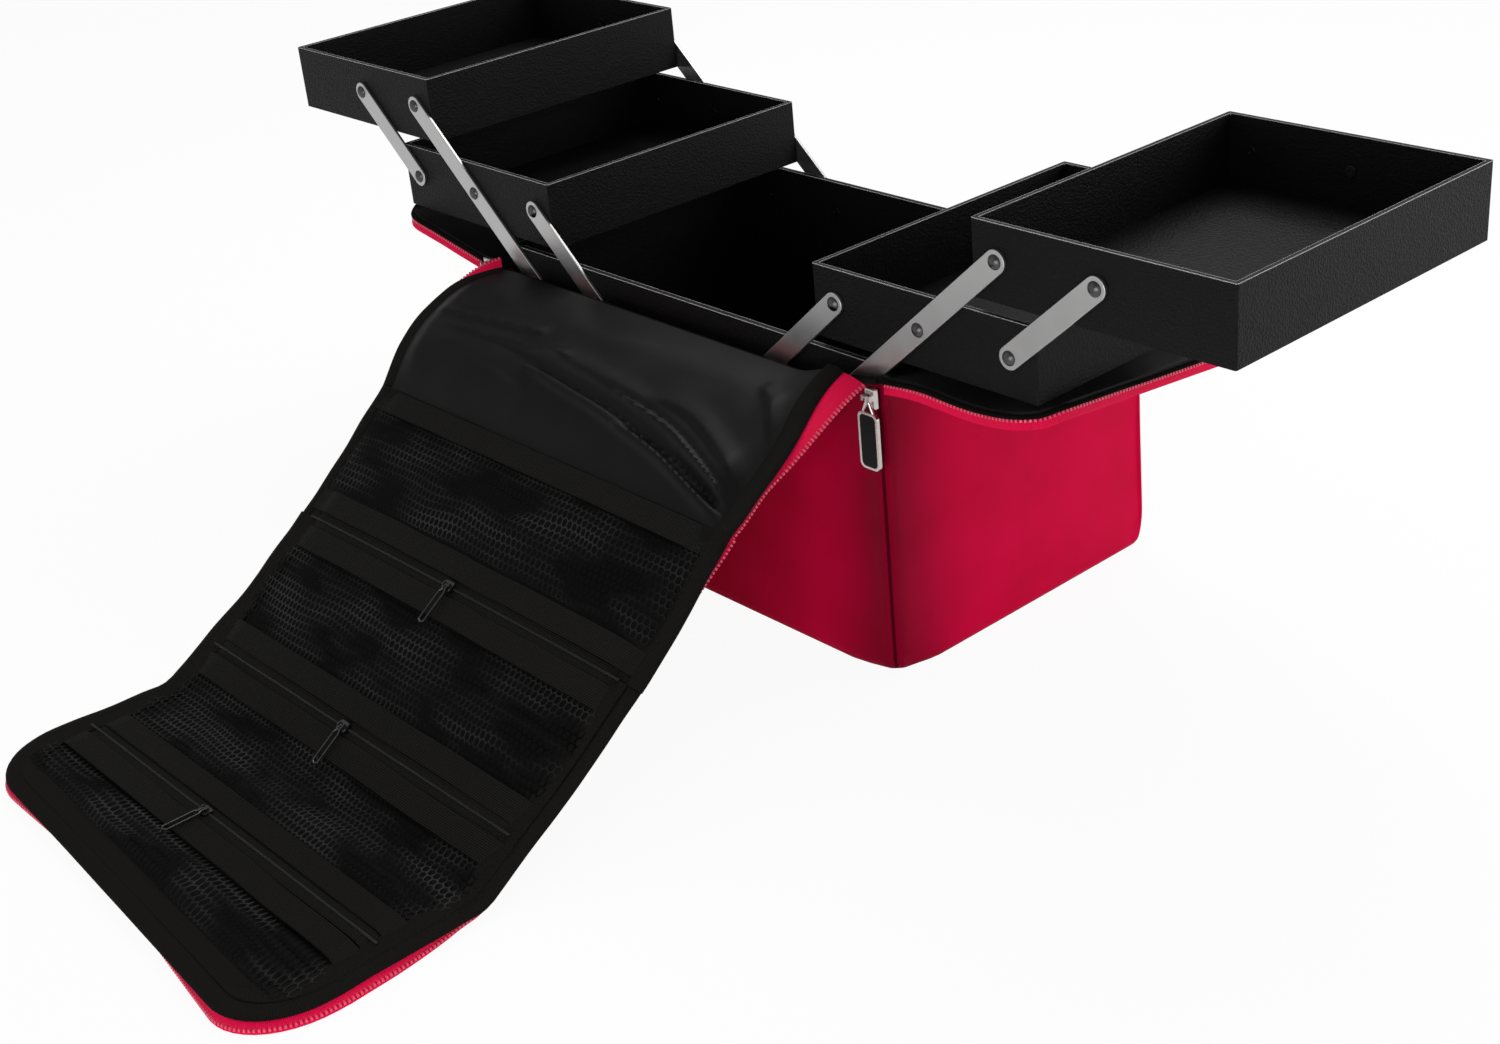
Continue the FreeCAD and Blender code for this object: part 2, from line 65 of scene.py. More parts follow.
# Camera, as read from the photograph
picture_width_px = 1500
focal_length_px = 2140
sensor_width_mm = 36.0
camera_place = Vector((1.0050, -0.9000, 0.6858))
camera_azimuth = radians(50.50)
camera_elevation = radians(26.75)
camera_roll = radians(-5.55)

# Floor and lamps; each lamp has a place, a target, a size and a power
floor_half = 40.0
floor_glow = 0.94
sky_strength = 0.36
case_middle = (0, -0.15, 0.15)
lamps = {
    "key": ((1.0, 0.85, 0.6), case_middle, 0.9, 8),
    "overhead": ((-0.3, 0.8, 1.7), case_middle, 1.3, 22),
    "fill": ((-1.0, -1.7, 1.0), case_middle, 1.4, 3.5),
    "front": ((0.8, -1.5, 0.24), (0.1, -0.12, 0.08), 0.8, 10),
}


def anchor(joint_name):
    """The place of a joint at rest."""
    return Vector(next(j["pos_m"] for j in frame["joints"] if j["name"] == joint_name))


def corners(name):
    """Lowest and highest corner of a node at rest."""
    low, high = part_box(name)
    return Vector(low), Vector(high)


def centre(name):
    """Middle of a node's box at rest."""
    low, high = corners(name)
    return (low + high) / 2


# Flap: its folds lie on the lining side, its mouth hinge on the outer side
hinge = anchor("flap_close")
fold_1 = anchor("flap_top_fold")
fold_2 = anchor("flap_back_fold")
flap_half = corners("flap_front_cover")[1].x
flap_end_y = corners("flap_back_cover")[0].y
pad = fold_2.z - corners("flap_back_cover")[0].z
flap_end_radius = 42 * MM
flap_skew = 0.036
front_bows = (13 * MM, 11 * MM, 3 * MM)
top_bows = (-9 * MM, -1.8 * MM, -9 * MM)
front_tuck = 12 * MM
front_bulge = 10 * MM
end_bulge = 11 * MM
end_drift = 11 * MM
end_drift_side = 12 * MM
edge_wave = 1.5 * MM
mouth_lift = 12 * MM
mouth_lift_down = 75 * MM
mouth_lift_back = 130 * MM
fold_1_soft = 8 * MM
fold_2_soft = 14 * MM

# Lining and cover of the flap
lining_share = 0.45
cloth_gap = 0.2 * MM
cover_inset = 1 * MM
cover_wave = 0.9 * MM
cover_hollow = 0.4 * MM
cover_least = 0.6 * MM
edge_drop = 1.2 * MM
edge_drop_share = 0.03
front_puff = 5 * MM
satin_wave = 1.1 * MM
satin_ripple = 0.5 * MM
lining_wave = 0.4 * MM

# Edge trim: a zip tape's reach at the start and the end of its run, its bend as shares of reach
# and drop, and its slope before the bend
binding_width = 11 * MM
binding_height = 3.6 * MM
binding_inset = 1.5 * MM
binding_sink = 1.1 * MM
binding_wave = 0.5 * MM
tape_thickness = 1.0 * MM
tape_sink = 1.6 * MM
tape_bend = (0.55, 0.3)
tape_slope = 0.55
right_tape = (21 * MM, 2.5 * MM)
left_tape = (11.5 * MM, 1.5 * MM)
left_tape_rise = 9 * MM
tucked_tape = (4 * MM, -1.5 * MM)
tape_drop = 4.5 * MM
end_tape = (-1 * MM, 8 * MM)
end_tape_drop = (4.0 * MM, 5.2 * MM)
right_trim = 1.35
left_trim = 0.9
end_trim = 1.2
collar_trim = 0.7
border_width = 13 * MM
border_inset = 11 * MM
border_lift = 0.4 * MM
tooth_pitch = 2.6 * MM
tooth_size = Vector((1.5, 2.6, 1.5)) * MM
tooth_taper = 0.7
tooth_sink = 1.2 * MM

# Pockets on the flap, as distances along the lining
pocket_half = corners("pocket_mesh_1")[1].x
zip_on_top = [(centre(f"pocket_zip_{k}") - fold_1).yz.length for k in (1, 2)]
zip_on_back = abs(centre("pocket_zip_3").y - fold_2.y)
net_cell = 4.6 * MM
net_stretch = 1.2
net_hole_share = 0.80
net_ridge = 0.15 * MM
net_edge = 7 * MM
net_start = 13 * MM
net_end = 12 * MM
net_tuck = 3 * MM
net_drift = Vector((3.5, 3.0)) * MM
net_fullness = (7 * MM, 5 * MM, 4 * MM, 3.5 * MM)
net_least = 0.6 * MM
net_crease = 1.3 * MM
hem_place = 9 * MM
hem_lift = 2.0 * MM
strip_width = 16 * MM
strip_thickness = 1.3 * MM
strip_lift = 2.6 * MM
strip_inset = 4 * MM
strip_wave = 0.6 * MM
strip_end_sink = 2.9 * MM
strip_sink_start = 20 * MM
strip_sink_end = 8 * MM
pocket_tape_width = 11 * MM
pocket_tape_seam = 3 * MM
pocket_tape_thickness = 0.8 * MM
pocket_tape_lift = 1.6 * MM
coil_lift = 2.2 * MM
coil_pitch = 1.5 * MM
coil_size = Vector((0.9, 1.7, 0.9)) * MM
coil_share = 0.985

# Bag, with the reach and tallness of its feet, the place, width and depth of its dents, and the
# heights or places between which a form comes or goes
bag_low, bag_high = corners("bag_body")
bag_radius = 9 * MM
bag_side_foot = (7 * MM, 7 * MM)
bag_back_foot = (12 * MM, 28 * MM)
bag_front_foot = (9 * MM, 9 * MM)
bag_wall = 6 * MM
bag_back_draw = 9.5 * MM
back_draw_full = 120 * MM
back_draw_ends = (140 * MM, 180 * MM)
mouth_lift_starts = (80 * MM, 180 * MM)
wall_wave = 1.6 * MM
wall_hollow = 1.2 * MM
wall_foot_fade = 20 * MM
wall_top_fade = 15 * MM
wall_row = 30 * MM
side_dent = (30 * MM, 50 * MM, 3.0 * MM)
front_roll = (30 * MM, 20 * MM, 4.0 * MM)
front_fold = (225 * MM, 9 * MM, 2.6 * MM)
front_fold_starts = (80 * MM, 140 * MM)
foot_corner_lift = 5 * MM
foot_corner_reach = 40 * MM
foot_corner_height = 30 * MM
seam_depth = 2.6 * MM
seam_foot_fade = 6 * MM
seam_size = (2.4 * MM, 1.8 * MM)
seam_end = 4 * MM
seam_rise = 0.3 * MM
bag_front_seam = 0.75 * pi * bag_radius + 2 * (bag_high.x - bag_radius)
# Painted shade on the bag's front wall beside its front right seam: how far it reaches, and the share of
# the colour left at the seam
seam_shade_reach = 75 * MM
seam_shade_share = 0.42
mouth_inset = 3.5 * MM
mouth_width = 8.5 * MM
mouth_height = 4.2 * MM
mouth_gap = 0.4 * MM
back_tape_width = 8 * MM
back_tape_gap = 0.6 * MM

# Collars, with the reach and drop of their zip tape, handle and trays
collar_pad = 4 * MM
collar_gap = 1 * MM
collar_seam = 0.1 * MM
collar_root = 2 * MM
collar_lift = 20 * MM
collar_upturn = 4 * MM
collar_bend = (-8 * MM, 4 * MM)
collar_droop = 26 * MM
collar_wave = 0.9 * MM
collar_radius = 25 * MM
collar_tape = (2.5 * MM, 5.5 * MM)
handle_foot = 30 * MM
handle_rise = 14.45 * MM
handle_size = (26 * MM, 3.2 * MM)
handle_gap = 1.5 * MM
# How far below a rim its pale edges reach, partly wear and partly painted highlight
rim_wear_and_highlight = 1.5 * MM


def clamp(x):
    """A number held between 0 and 1."""
    return min(1.0, max(0.0, x))


def ramp(x, start=0.0, end=1.0):
    """Rises smoothly from 0 to 1 as x goes from start to end."""
    x = clamp((x - start) / (end - start))
    return x * x * (3 - 2 * x)


def spaced(start, end, steps):
    """Evenly spaced values from start to end."""
    return [start + (end - start) * k / steps for k in range(steps + 1)]


def between(ends, share):
    """A value between two ends by a share."""
    return ends[0] + (ends[1] - ends[0]) * share


def hump(x, width):
    """A rounded bump of height 1 over 0."""
    return exp(-((x / width) ** 2))


def rounded(past, radius):
    """How far a round corner has drawn in at a distance past its start."""
    return radius - sqrt(max(0.0, radius**2 - max(0.0, past) ** 2))


def bumps(x, y, seed):
    """Gentle unevenness between about -1 and 1."""
    return noise.noise(Vector((x, y, seed)))


def creases(x, y, seed):
    """Narrow ridges between 0 and 1."""
    return (1 - abs(bumps(x, y, seed))) ** 6


def node(tree, kind, inputs=None, **settings):
    """A shader node with settings, and inputs as constants or links."""
    made = tree.nodes.new("ShaderNode" + kind)
    for key, value in settings.items():
        setattr(made, key, value)
    for key, value in (inputs or {}).items():
        if isinstance(value, bpy.types.NodeSocket):
            tree.links.new(value, made.inputs[key])
        else:
            made.inputs[key].default_value = value
    return made


def calc(tree, operation, *values):
    """The result of a math node."""
    return node(tree, "Math", dict(enumerate(values)), operation=operation).outputs[0]


def spread(tree, value, start=0.0, end=1.0, low=0.0, high=1.0, curve="LINEAR"):
    """A value carried from one range to another."""
    inputs = {"Value": value, "From Min": start, "From Max": end, "To Min": low, "To Max": high}
    return node(tree, "MapRange", inputs, interpolation_type=curve).outputs["Result"]


def clouds(tree, place, scale, detail=3.0):
    """Soft noise from 0 to 1, scaled along each axis."""
    drawn = node(tree, "Mapping", {"Vector": place, "Scale": scale}).outputs[0]
    return node(tree, "TexNoise", {"Vector": drawn, "Scale": 1.0, "Detail": detail}).outputs["Fac"]


def stripes(tree, place, pitch, direction, distortion, detail):
    """Soft stripes of a given pitch, from 0 to 1."""
    inputs = {"Vector": place, "Scale": pi / 10 / pitch, "Distortion": distortion, "Detail": detail}
    return node(tree, "TexWave", inputs, bands_direction=direction).outputs["Fac"]


def colour(tree, share, dark, light):
    """A colour that goes from dark to light with a share."""
    made = node(tree, "ValToRGB", {"Fac": share})
    for stop, tone in zip(made.color_ramp.elements, (dark, light)):
        stop.color = (*tone, 1)
    return made.outputs["Color"]


def blended(tree, share, first, second, kind="MIX"):
    """A second colour laid over a first one by a share."""
    inputs = {"Factor": share, 6: first, 7: second}
    return node(tree, "Mix", inputs, data_type="RGBA", blend_type=kind).outputs[2]


def raised(tree, height, distance, **inputs):
    """The surface direction of a bump from a height pattern."""
    return node(tree, "Bump", {"Height": height, "Distance": distance, **inputs}).outputs["Normal"]


def soft_edges(tree, radius):
    """The surface direction with edges rounded by a radius."""
    return node(tree, "Bevel", {"Radius": radius}, samples=4).outputs["Normal"]


def new_material(name, source, **inputs):
    """A principled material with its constants, and the coordinates that it uses."""
    made = bpy.data.materials.new(name)
    made.use_nodes = True
    tree = made.node_tree
    shader = tree.nodes["Principled BSDF"]
    for key, value in inputs.items():
        shader.inputs[key.replace("_", " ")].default_value = value
    return made, tree, shader, node(tree, "TexCoord").outputs[source]


def feed(shader, **values):
    """Links patterns to the inputs of a shader."""
    for key, value in values.items():
        shader.id_data.links.new(value, shader.inputs[key.replace("_", " ")])


def thrice(value):
    """The same number along all axes, or in all channels."""
    return (value, value, value)


def fabric(name, dark, light, pitch, rough, relief, specular, sheen=0.0, seam=None):
    """Woven cloth with uneven dye, a fine weave and a soft sheen, darkened beside a seam by painted
    shade.
    """
    made, tree, shader, place = new_material(
        name, "UV", Roughness=rough, Specular_IOR_Level=specular,
        Sheen_Weight=sheen, Sheen_Roughness=0.45, Sheen_Tint=pinkish,
    )
    over, under = (stripes(tree, place, pitch, direction, 0.6, 1.0) for direction in "XY")
    thread = calc(tree, "MULTIPLY", over, under)
    mixed = calc(tree, "MULTIPLY_ADD", thread, 0.3, clouds(tree, place, thrice(26)))
    dye = colour(tree, mixed, dark, light)
    # Painted shade: the colour darkens towards the seam, where the wall is drawn in
    if seam is not None:
        run = node(tree, "SeparateXYZ", {0: place}).outputs["X"]
        away = calc(tree, "ABSOLUTE", calc(tree, "SUBTRACT", run, seam))
        shade = spread(tree, away, end=seam_shade_reach, low=seam_shade_share, curve="SMOOTHSTEP")
        dye = blended(tree, 1.0, dye, shade, "MULTIPLY")
    feed(shader, Base_Color=dye, Normal=raised(tree, thread, relief))
    return made


def netting(name):
    """Knitted black net, shinier in some stretches than in others, where painted sheen also makes its
    colour lighter.
    """
    made, tree, shader, place = new_material(name, "UV", Roughness=0.42)
    share = spread(tree, clouds(tree, place, (13, 36, 1), 2.0), 0.42, 0.66)
    # Painted sheen: the colour is lighter in the same random stretches that are shinier
    dye = colour(tree, share, (0.0015, 0.0015, 0.0014), (0.013, 0.013, 0.012))
    feed(shader, Base_Color=dye, Specular_IOR_Level=spread(tree, share, low=0.03, high=0.20))
    return made


def ribbed(name, dark, light, pitch, rough, specular, direction="X"):
    """Tape with ribs across its length."""
    made, tree, shader, place = new_material(name, "UV", Roughness=rough, Specular_IOR_Level=specular)
    ribs = stripes(tree, place, pitch, direction, 0.4, 2.0)
    feed(shader, Base_Color=colour(tree, ribs, dark, light), Normal=raised(tree, ribs, 0.3 * MM))
    return made


def leatherette(name, rim_height):
    """Board wrapped in black leatherette with a fine grain; pale rim edges, partly wear and partly
    painted highlight.
    """
    made, tree, shader, place = new_material(name, "Object", Specular_IOR_Level=0.085)
    cells = {"Vector": place, "Scale": 620.0, "Randomness": 0.9}
    grain = node(tree, "TexVoronoi", cells).outputs["Distance"]
    streaks = clouds(tree, place, (260, 260, 1500), 4.0)
    board = colour(tree, streaks, (0.0025, 0.0025, 0.0029), (0.0085, 0.0085, 0.0095))
    height = node(tree, "SeparateXYZ", {0: place}).outputs["Z"]
    # Painted highlight, partly wear: the rounded top edges of the rims turn pale grey, as where light
    # from above catches them
    at_rim = calc(tree, "GREATER_THAN", height, rim_height - rim_wear_and_highlight)
    flat = node(tree, "NewGeometry").outputs["Normal"]
    edges = {0: soft_edges(tree, 0.8 * MM), 1: flat}
    facing = node(tree, "VectorMath", edges, operation="DOT_PRODUCT").outputs["Value"]
    wear_and_highlight = calc(tree, "MULTIPLY", spread(tree, facing, 0.98, 0.80), at_rim)
    feed(
        shader, Base_Color=blended(tree, wear_and_highlight, board, (0.75, 0.75, 0.76, 1)),
        Roughness=spread(tree, streaks, low=0.40, high=0.56),
        Normal=raised(tree, calc(tree, "ADD", grain, streaks), 0.35 * MM),
    )
    return made


def metal(name, dark, light, rough_low, rough_high, grain_scale):
    """Satin metal with fine drawn lines and softened edges."""
    made, tree, shader, place = new_material(name, "Object", Metallic=1.0)
    lines = clouds(tree, place, grain_scale)
    feed(
        shader, Base_Color=colour(tree, lines, dark, light),
        Roughness=spread(tree, lines, low=rough_low, high=rough_high),
        Normal=raised(tree, lines, 0.03 * MM, Normal=soft_edges(tree, 0.35 * MM)),
    )
    return made


def enamel(name, dark, light, rough, specular=0.4):
    """A smooth coated surface with slight clouding."""
    inputs = {"Roughness": rough, "Specular_IOR_Level": specular}
    made, tree, shader, place = new_material(name, "Object", **inputs)
    cloud = clouds(tree, place, thrice(220))
    feed(shader, Base_Color=colour(tree, cloud, dark, light), Normal=raised(tree, cloud, 0.05 * MM))
    return made


pinkish = (1.0, 0.45, 0.62, 1)
nylon = ((0.48, 0.0003, 0.031), (0.68, 0.0009, 0.058), 0.55 * MM, 0.65, 0.08 * MM, 0.04, 0.03)
red_nylon = fabric("red_nylon", *nylon)
# The bag's nylon, with painted shade beside its front right seam
red_bag_painted_shade = fabric("red_bag_painted_shade", *nylon, seam=bag_front_seam)
# Zip tape, also used for the webbing: its own brighter red than the nylon, raised further by painted
# light from above
red_tape = ribbed("red_tape", (0.82, 0.002, 0.050), (0.98, 0.006, 0.095), 0.9 * MM, 0.6, 0.1)
red_teeth = enamel("red_teeth", (0.66, 0.03, 0.09), (0.86, 0.12, 0.21), 0.35)
# Painted shade: the corner seam cords are a real seam, dark red as the shade in the sunk seams
red_seam_painted_shade = ribbed("red_seam_painted_shade", (0.060, 0.0002, 0.004), (0.110, 0.0005, 0.008), 0.8 * MM, 0.7, 0.05)
black_satin = fabric(
    "black_satin", (0.0035, 0.0035, 0.0040), (0.0070, 0.0070, 0.0078), 0.45 * MM, 0.36, 0.04 * MM, 0.085,
)
black_lining = fabric(
    "black_lining", (0.0035, 0.0035, 0.0037), (0.0065, 0.0065, 0.0068), 0.45 * MM, 0.6, 0.04 * MM, 0.05,
)
black_grosgrain = ribbed(
    "black_grosgrain", (0.0035, 0.0032, 0.0028), (0.0115, 0.0105, 0.0095), 0.8 * MM, 0.75, 0.06,
)
black_net = netting("black_net")
black_strip = ribbed(
    "black_strip", (0.0032, 0.0031, 0.0028), (0.0120, 0.0112, 0.0100), 1.3 * MM, 0.6, 0.05, "Y",
)
black_coil = ribbed("black_coil", (0.010, 0.010, 0.009), (0.034, 0.034, 0.031), 0.9 * MM, 0.38, 0.3)
black_metal = metal("black_metal", thrice(0.05), thrice(0.10), 0.28, 0.42, thrice(300))
aluminium = metal("aluminium", thrice(0.43), (0.51, 0.51, 0.505), 0.34, 0.46, (60, 900, 60))
nickel = metal("nickel", thrice(0.055), thrice(0.10), 0.26, 0.38, thrice(200))
pale_metal = metal("pale_metal", (0.46, 0.42, 0.40), (0.60, 0.55, 0.53), 0.16, 0.26, (150, 150, 600))
black_inlay = enamel("black_inlay", thrice(0.003), thrice(0.006), 0.3, 0.08)


def add_object(name, data):
    """A new object in the scene."""
    made = bpy.data.objects.new(name, data)
    bpy.context.scene.collection.objects.link(made)
    return made


def make_piece(name, verts, faces, uvs, material, solid=True, sharp=40):
    """A smooth mesh piece; a closed one has its faces turned outward."""
    mesh = bpy.data.meshes.new(name)
    mesh.from_pydata(verts, [], faces)
    layer = mesh.uv_layers.new(name="weave")
    for loop in mesh.loops:
        layer.data[loop.index].uv = uvs[loop.vertex_index]
    if solid:
        shell = bmesh.new()
        shell.from_mesh(mesh)
        bmesh.ops.recalc_face_normals(shell, faces=shell.faces)
        shell.to_mesh(mesh)
        shell.free()
    mesh.materials.append(material)
    mesh.shade_smooth()
    mesh.set_sharp_from_angle(angle=radians(sharp))
    return add_object(name, mesh)


def settle(piece, slot, *stands_for, fill=None):
    """Hides the nodes that a piece stands for; its slot and fill are not used."""
    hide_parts(*stands_for)


def slab(name, top, bottom, across, along, size, material):
    """A closed sheet between two surfaces, each a function of two shares from 0 to 1."""
    columns = across + 1
    shares = [(i / across, j / along) for j in range(along + 1) for i in range(columns)]
    under = len(shares)
    verts = [top(a, b) for a, b in shares] + [bottom(a, b) for a, b in shares]
    uvs = [(a * size[0], b * size[1]) for a, b in shares] * 2
    starts = [k for k in range(under - columns) if (k + 1) % columns]
    quads = [(k, k + 1, k + columns + 1, k + columns) for k in starts]
    edges = dict.fromkeys((quad[i - 1], quad[i]) for quad in quads for i in range(4))
    rim = [(b, a, under + a, under + b) for a, b in edges if (b, a) not in edges]
    backs = [tuple(under + k for k in reversed(quad)) for quad in quads]
    return make_piece(name, verts, quads + backs + rim, uvs, material)


def oval(width, height, count=12, lift=0.0):
    """Section points of a flattened round cord."""
    turns = spaced(0, tau, count)[:-1]
    return [(width / 2 * cos(t), lift + height / 2 * sin(t)) for t in turns]


def strap(width, thickness, lift=0.0):
    """Section points of a flat tape with softened edges."""
    soft = thickness / 3
    w, h = width / 2, thickness / 2
    points = [(-w, -h + soft), (-w + soft, -h), (w - soft, -h), (w, -h + soft)]
    points += [(w, h - soft), (w - soft, h), (-w + soft, h), (-w, h - soft)]
    return [(a, b + lift) for a, b in points]


def stations(path, normals):
    """Point, side and rise at each point of a path."""
    for k, (point, normal) in enumerate(zip(path, normals)):
        tangent = (path[min(k + 1, len(path) - 1)] - path[max(k - 1, 0)]).normalized()
        rise = (normal - tangent * normal.dot(tangent)).normalized()
        yield point, tangent.cross(rise), rise


def run_lengths(points):
    """The distance along a path at each of its points."""
    steps = [(after - before).length for before, after in zip(points, points[1:])]
    return list(accumulate(steps, initial=0.0))


def ring_faces(count, rings):
    """Faces between closed rings of points that follow each other."""
    starts = range(0, count * (rings - 1), count)
    edges = [(k + i, k + (i + 1) % count) for k in starts for i in range(count)]
    return [(a, b, b + count, a + count) for a, b in edges]


def sweep(name, path, normals, section, material):
    """A section of (side, rise) points, fixed or given per point, carried along a path."""
    sections = [section(k) for k in range(len(path))] if callable(section) else [section] * len(path)
    count = len(sections[0])
    around = run_lengths([Vector(point) for point in sections[0]])
    uvs = [(run, girth) for run in run_lengths(path) for girth in around]
    verts = []
    for (point, side, rise), points in zip(stations(path, normals), sections):
        verts += [point + side * a + rise * b for a, b in points]
    ends = [tuple(range(count)), tuple(reversed(range(len(verts) - count, len(verts))))]
    return make_piece(name, verts, ring_faces(count, len(path)) + ends, uvs, material)


def evenly(path, normals, pitch):
    """Point, normal and tangent at an even pitch along a path."""
    left = pitch / 2
    for k in range(len(path) - 1):
        step = path[k + 1] - path[k]
        while left < step.length:
            share = left / step.length
            yield path[k] + step * share, normals[k].lerp(normals[k + 1], share), step.normalized()
            left += pitch
        left -= step.length


def teeth(name, path, normals, material, pitch=tooth_pitch, size=tooth_size):
    """A row of small teeth along a path, narrower at their tops."""
    square = ((-0.5, -0.5), (0.5, -0.5), (0.5, 0.5), (-0.5, 0.5))
    sides = ((3, 2, 1, 0), (4, 5, 6, 7), (0, 1, 5, 4), (1, 2, 6, 5), (2, 3, 7, 6), (3, 0, 4, 7))
    verts, faces, uvs = [], [], []
    for point, normal, tangent in evenly(path, normals, pitch):
        rise = (normal - tangent * normal.dot(tangent)).normalized()
        across = tangent.cross(rise)
        faces += [tuple(len(verts) + corner for corner in side) for side in sides]
        for level, share in ((-0.5, 1.0), (0.5, tooth_taper)):
            middle = point + rise * (level * size.z)
            verts += [middle + (tangent * a * size.x + across * b * size.y) * share for a, b in square]
            uvs += [(a * size.x, b * size.y) for a, b in square]
    return make_piece(name, verts, faces, uvs, material)


class Panel:
    """One panel of the flap: where its lining starts, how it runs and how it bows."""

    def __init__(self, first, start, end, bows=(0.0, 0.0, 0.0)):
        self.first = first
        self.start = start
        self.length = (end - start).length
        self.run = (end - start).normalized()
        self.rise = Vector((0, self.run.z, -self.run.y))
        self.bows = bows

    def bow_at(self, u):
        """The bow across the panel, from those at its left, its middle and its right."""
        left, middle, right = self.bows
        outward = min(1.0, (u / flap_half) ** 2)
        return middle + ((left if u < 0 else right) - middle) * outward

    def at(self, u, s, n):
        """A point of the panel, n above its lining."""
        share = (s - self.first) / self.length
        bowed = 4 * self.bow_at(u) * share * (1 - share)
        return self.start + self.run * (s - self.first) + self.rise * (n + bowed)

    def normal(self, u, s):
        """The lining side's direction on the panel."""
        share = (s - self.first) / self.length
        slope = 4 * self.bow_at(u) * (1 - 2 * share) / self.length
        return (self.rise - self.run * slope).normalized()


hinge_to_fold = fold_1 - hinge
front_length = sqrt(hinge_to_fold.length_squared - pad**2)
lean = asin(pad / hinge_to_fold.length)
front_run = Matrix.Rotation(lean, 3, "X") @ hinge_to_fold.normalized()
front_start = fold_1 - front_run * front_length
front = Panel(0.0, front_start, fold_1, front_bows)
top = Panel(front.length, fold_1, fold_2, top_bows)
back = Panel(top.first + top.length, fold_2, Vector((0, flap_end_y, fold_2.z)))
flap_cut = top.first + zip_on_top[0]
flap_end = back.first + back.length


def fold_shares(s):
    """How far a place on the flap is past each fold, from 0 to 1."""
    past_1 = ramp(s - top.first, -fold_1_soft, fold_1_soft)
    past_2 = ramp(s - back.first, -fold_2_soft, fold_2_soft)
    return past_1, past_2


def mouth_rise(x, y):
    """How far the mouth is drawn up near its front right corner."""
    return mouth_lift * ramp(x / bag_high.x, 0.68, 0.98) * (1 - ramp((y - bag_low.y) / mouth_lift_back))


def end_shift(u, s):
    """How far the flap is drawn out past its last zip, more on the right."""
    shift = end_drift + end_drift_side * u / flap_half
    return shift * ramp(s, back.first + zip_on_back, flap_end)


def edge_draw(u, s):
    """How far to the left the edges lie: the right one at the mouth, the left one further on."""
    across = u / flap_half
    share = clamp(s / front.length)
    tuck = front_tuck * ramp(across, 0.5) * (1 - ramp(share))
    bulge = front_bulge * sin(pi * share**0.7)
    bulge += end_bulge * ramp((s - back.first) / back.length)
    wave = edge_wave * across**4 * bumps(s / 0.03, across, 4.4)
    return tuck + bulge * ramp(-across, 0.3) + wave


def flap(u, s, n=0.0):
    """A point of the flap: u across, s along its lining from the mouth, n above it."""
    s += end_shift(u, s)
    past_1, past_2 = fold_shares(s)
    later = top.at(u, s, n).lerp(back.at(u, s, n), past_2)
    point = front.at(u, s, n).lerp(later, past_1)
    point.x = u + flap_skew * max(0.0, s) - edge_draw(u, s)
    point.z += mouth_rise(u, bag_low.y) * (1 - ramp(s / mouth_lift_down))
    return point


def flap_normal(s, u=0.0):
    """The lining side's direction at a place along the flap."""
    past_1, past_2 = fold_shares(s)
    later = top.normal(u, s).lerp(back.normal(u, s), past_2)
    return front.normal(u, s).lerp(later, past_1).normalized()


def half_width(s, inset=0.0):
    """Half the flap's width at a place along it."""
    bend_start = flap_end - flap_end_radius
    return flap_half - rounded(s - bend_start, flap_end_radius) - inset


def edge_fall(share):
    """How much a panel falls away towards its long edges."""
    return edge_drop * (1 - ramp(min(share, 1 - share) / edge_drop_share))


# Folds in the loose satin, from left to right: start and end as shares across and along the panel,
# how far the fold arches back, its width as a share of the panel and its height in millimetres
satin_folds = (
    (0.17, 0.57, 1.02, 0.96, 0.00, 0.026, -3.2),
    (0.24, 0.51, 1.03, 0.89, 0.01, 0.050, 4.0),
    (0.22, 0.64, 1.02, 1.01, 0.00, 0.030, 2.8),
    (0.52, 0.56, 1.01, 0.91, 0.01, 0.014, -1.6),
    (0.62, 0.72, 1.01, 0.98, 0.00, 0.013, -1.5),
    (0.66, 0.52, 1.02, 0.84, 0.02, 0.045, 2.6),
    (0.00, 0.49, 0.34, 0.40, 0.01, 0.028, 2.4),
    (0.06, 0.57, 0.46, 0.50, 0.01, 0.022, 2.0),
    (0.03, 0.70, 0.40, 0.74, 0.03, 0.050, 2.0),
    (0.86, 0.20, 1.00, 0.60, 0.00, 0.050, 2.0),
)


def sewn_down(a, b, side, near, far):
    """Falls from 1 to 0 within shares of a panel's sides, near end and far end."""
    return ramp(min(a, 1 - a) / side) * ramp(b / near) * ramp((1 - b) / far)


def plain_lining(a, s):
    """Loose satin of the first panel, with long folds that gather on the right."""
    share = s / front.length
    height = satin_wave * bumps(a * 4.2, share * 2.4, 0.4) + satin_ripple * bumps(a * 13, share * 7, 2.4)
    for start_a, start_t, end_a, end_t, arch, width, size in satin_folds:
        x = (a - start_a) / (end_a - start_a)
        if 0 < x < 1:
            crest = start_t + (end_t - start_t) * x * x - arch * 4 * x * (1 - x)
            crest += 0.02 * bumps(a * 6, size * 0.9, 3.3)
            wide = width * (1.9 if share < crest else 0.6)
            ends = ramp(x / 0.3) * ramp((1 - x) / 0.12)
            height += size * MM * ends * hump(share - crest, wide)
    puff = front_puff * sewn_down(a, share, 0.065, 0.3, 0.25)
    return height * sewn_down(a, share, 0.06, 0.2, 0.07) + puff


def pocket_lining(a, s):
    """Lining under the pockets, nearly flat."""
    return lining_wave * bumps(a * 9, s / 0.03, 1.1)


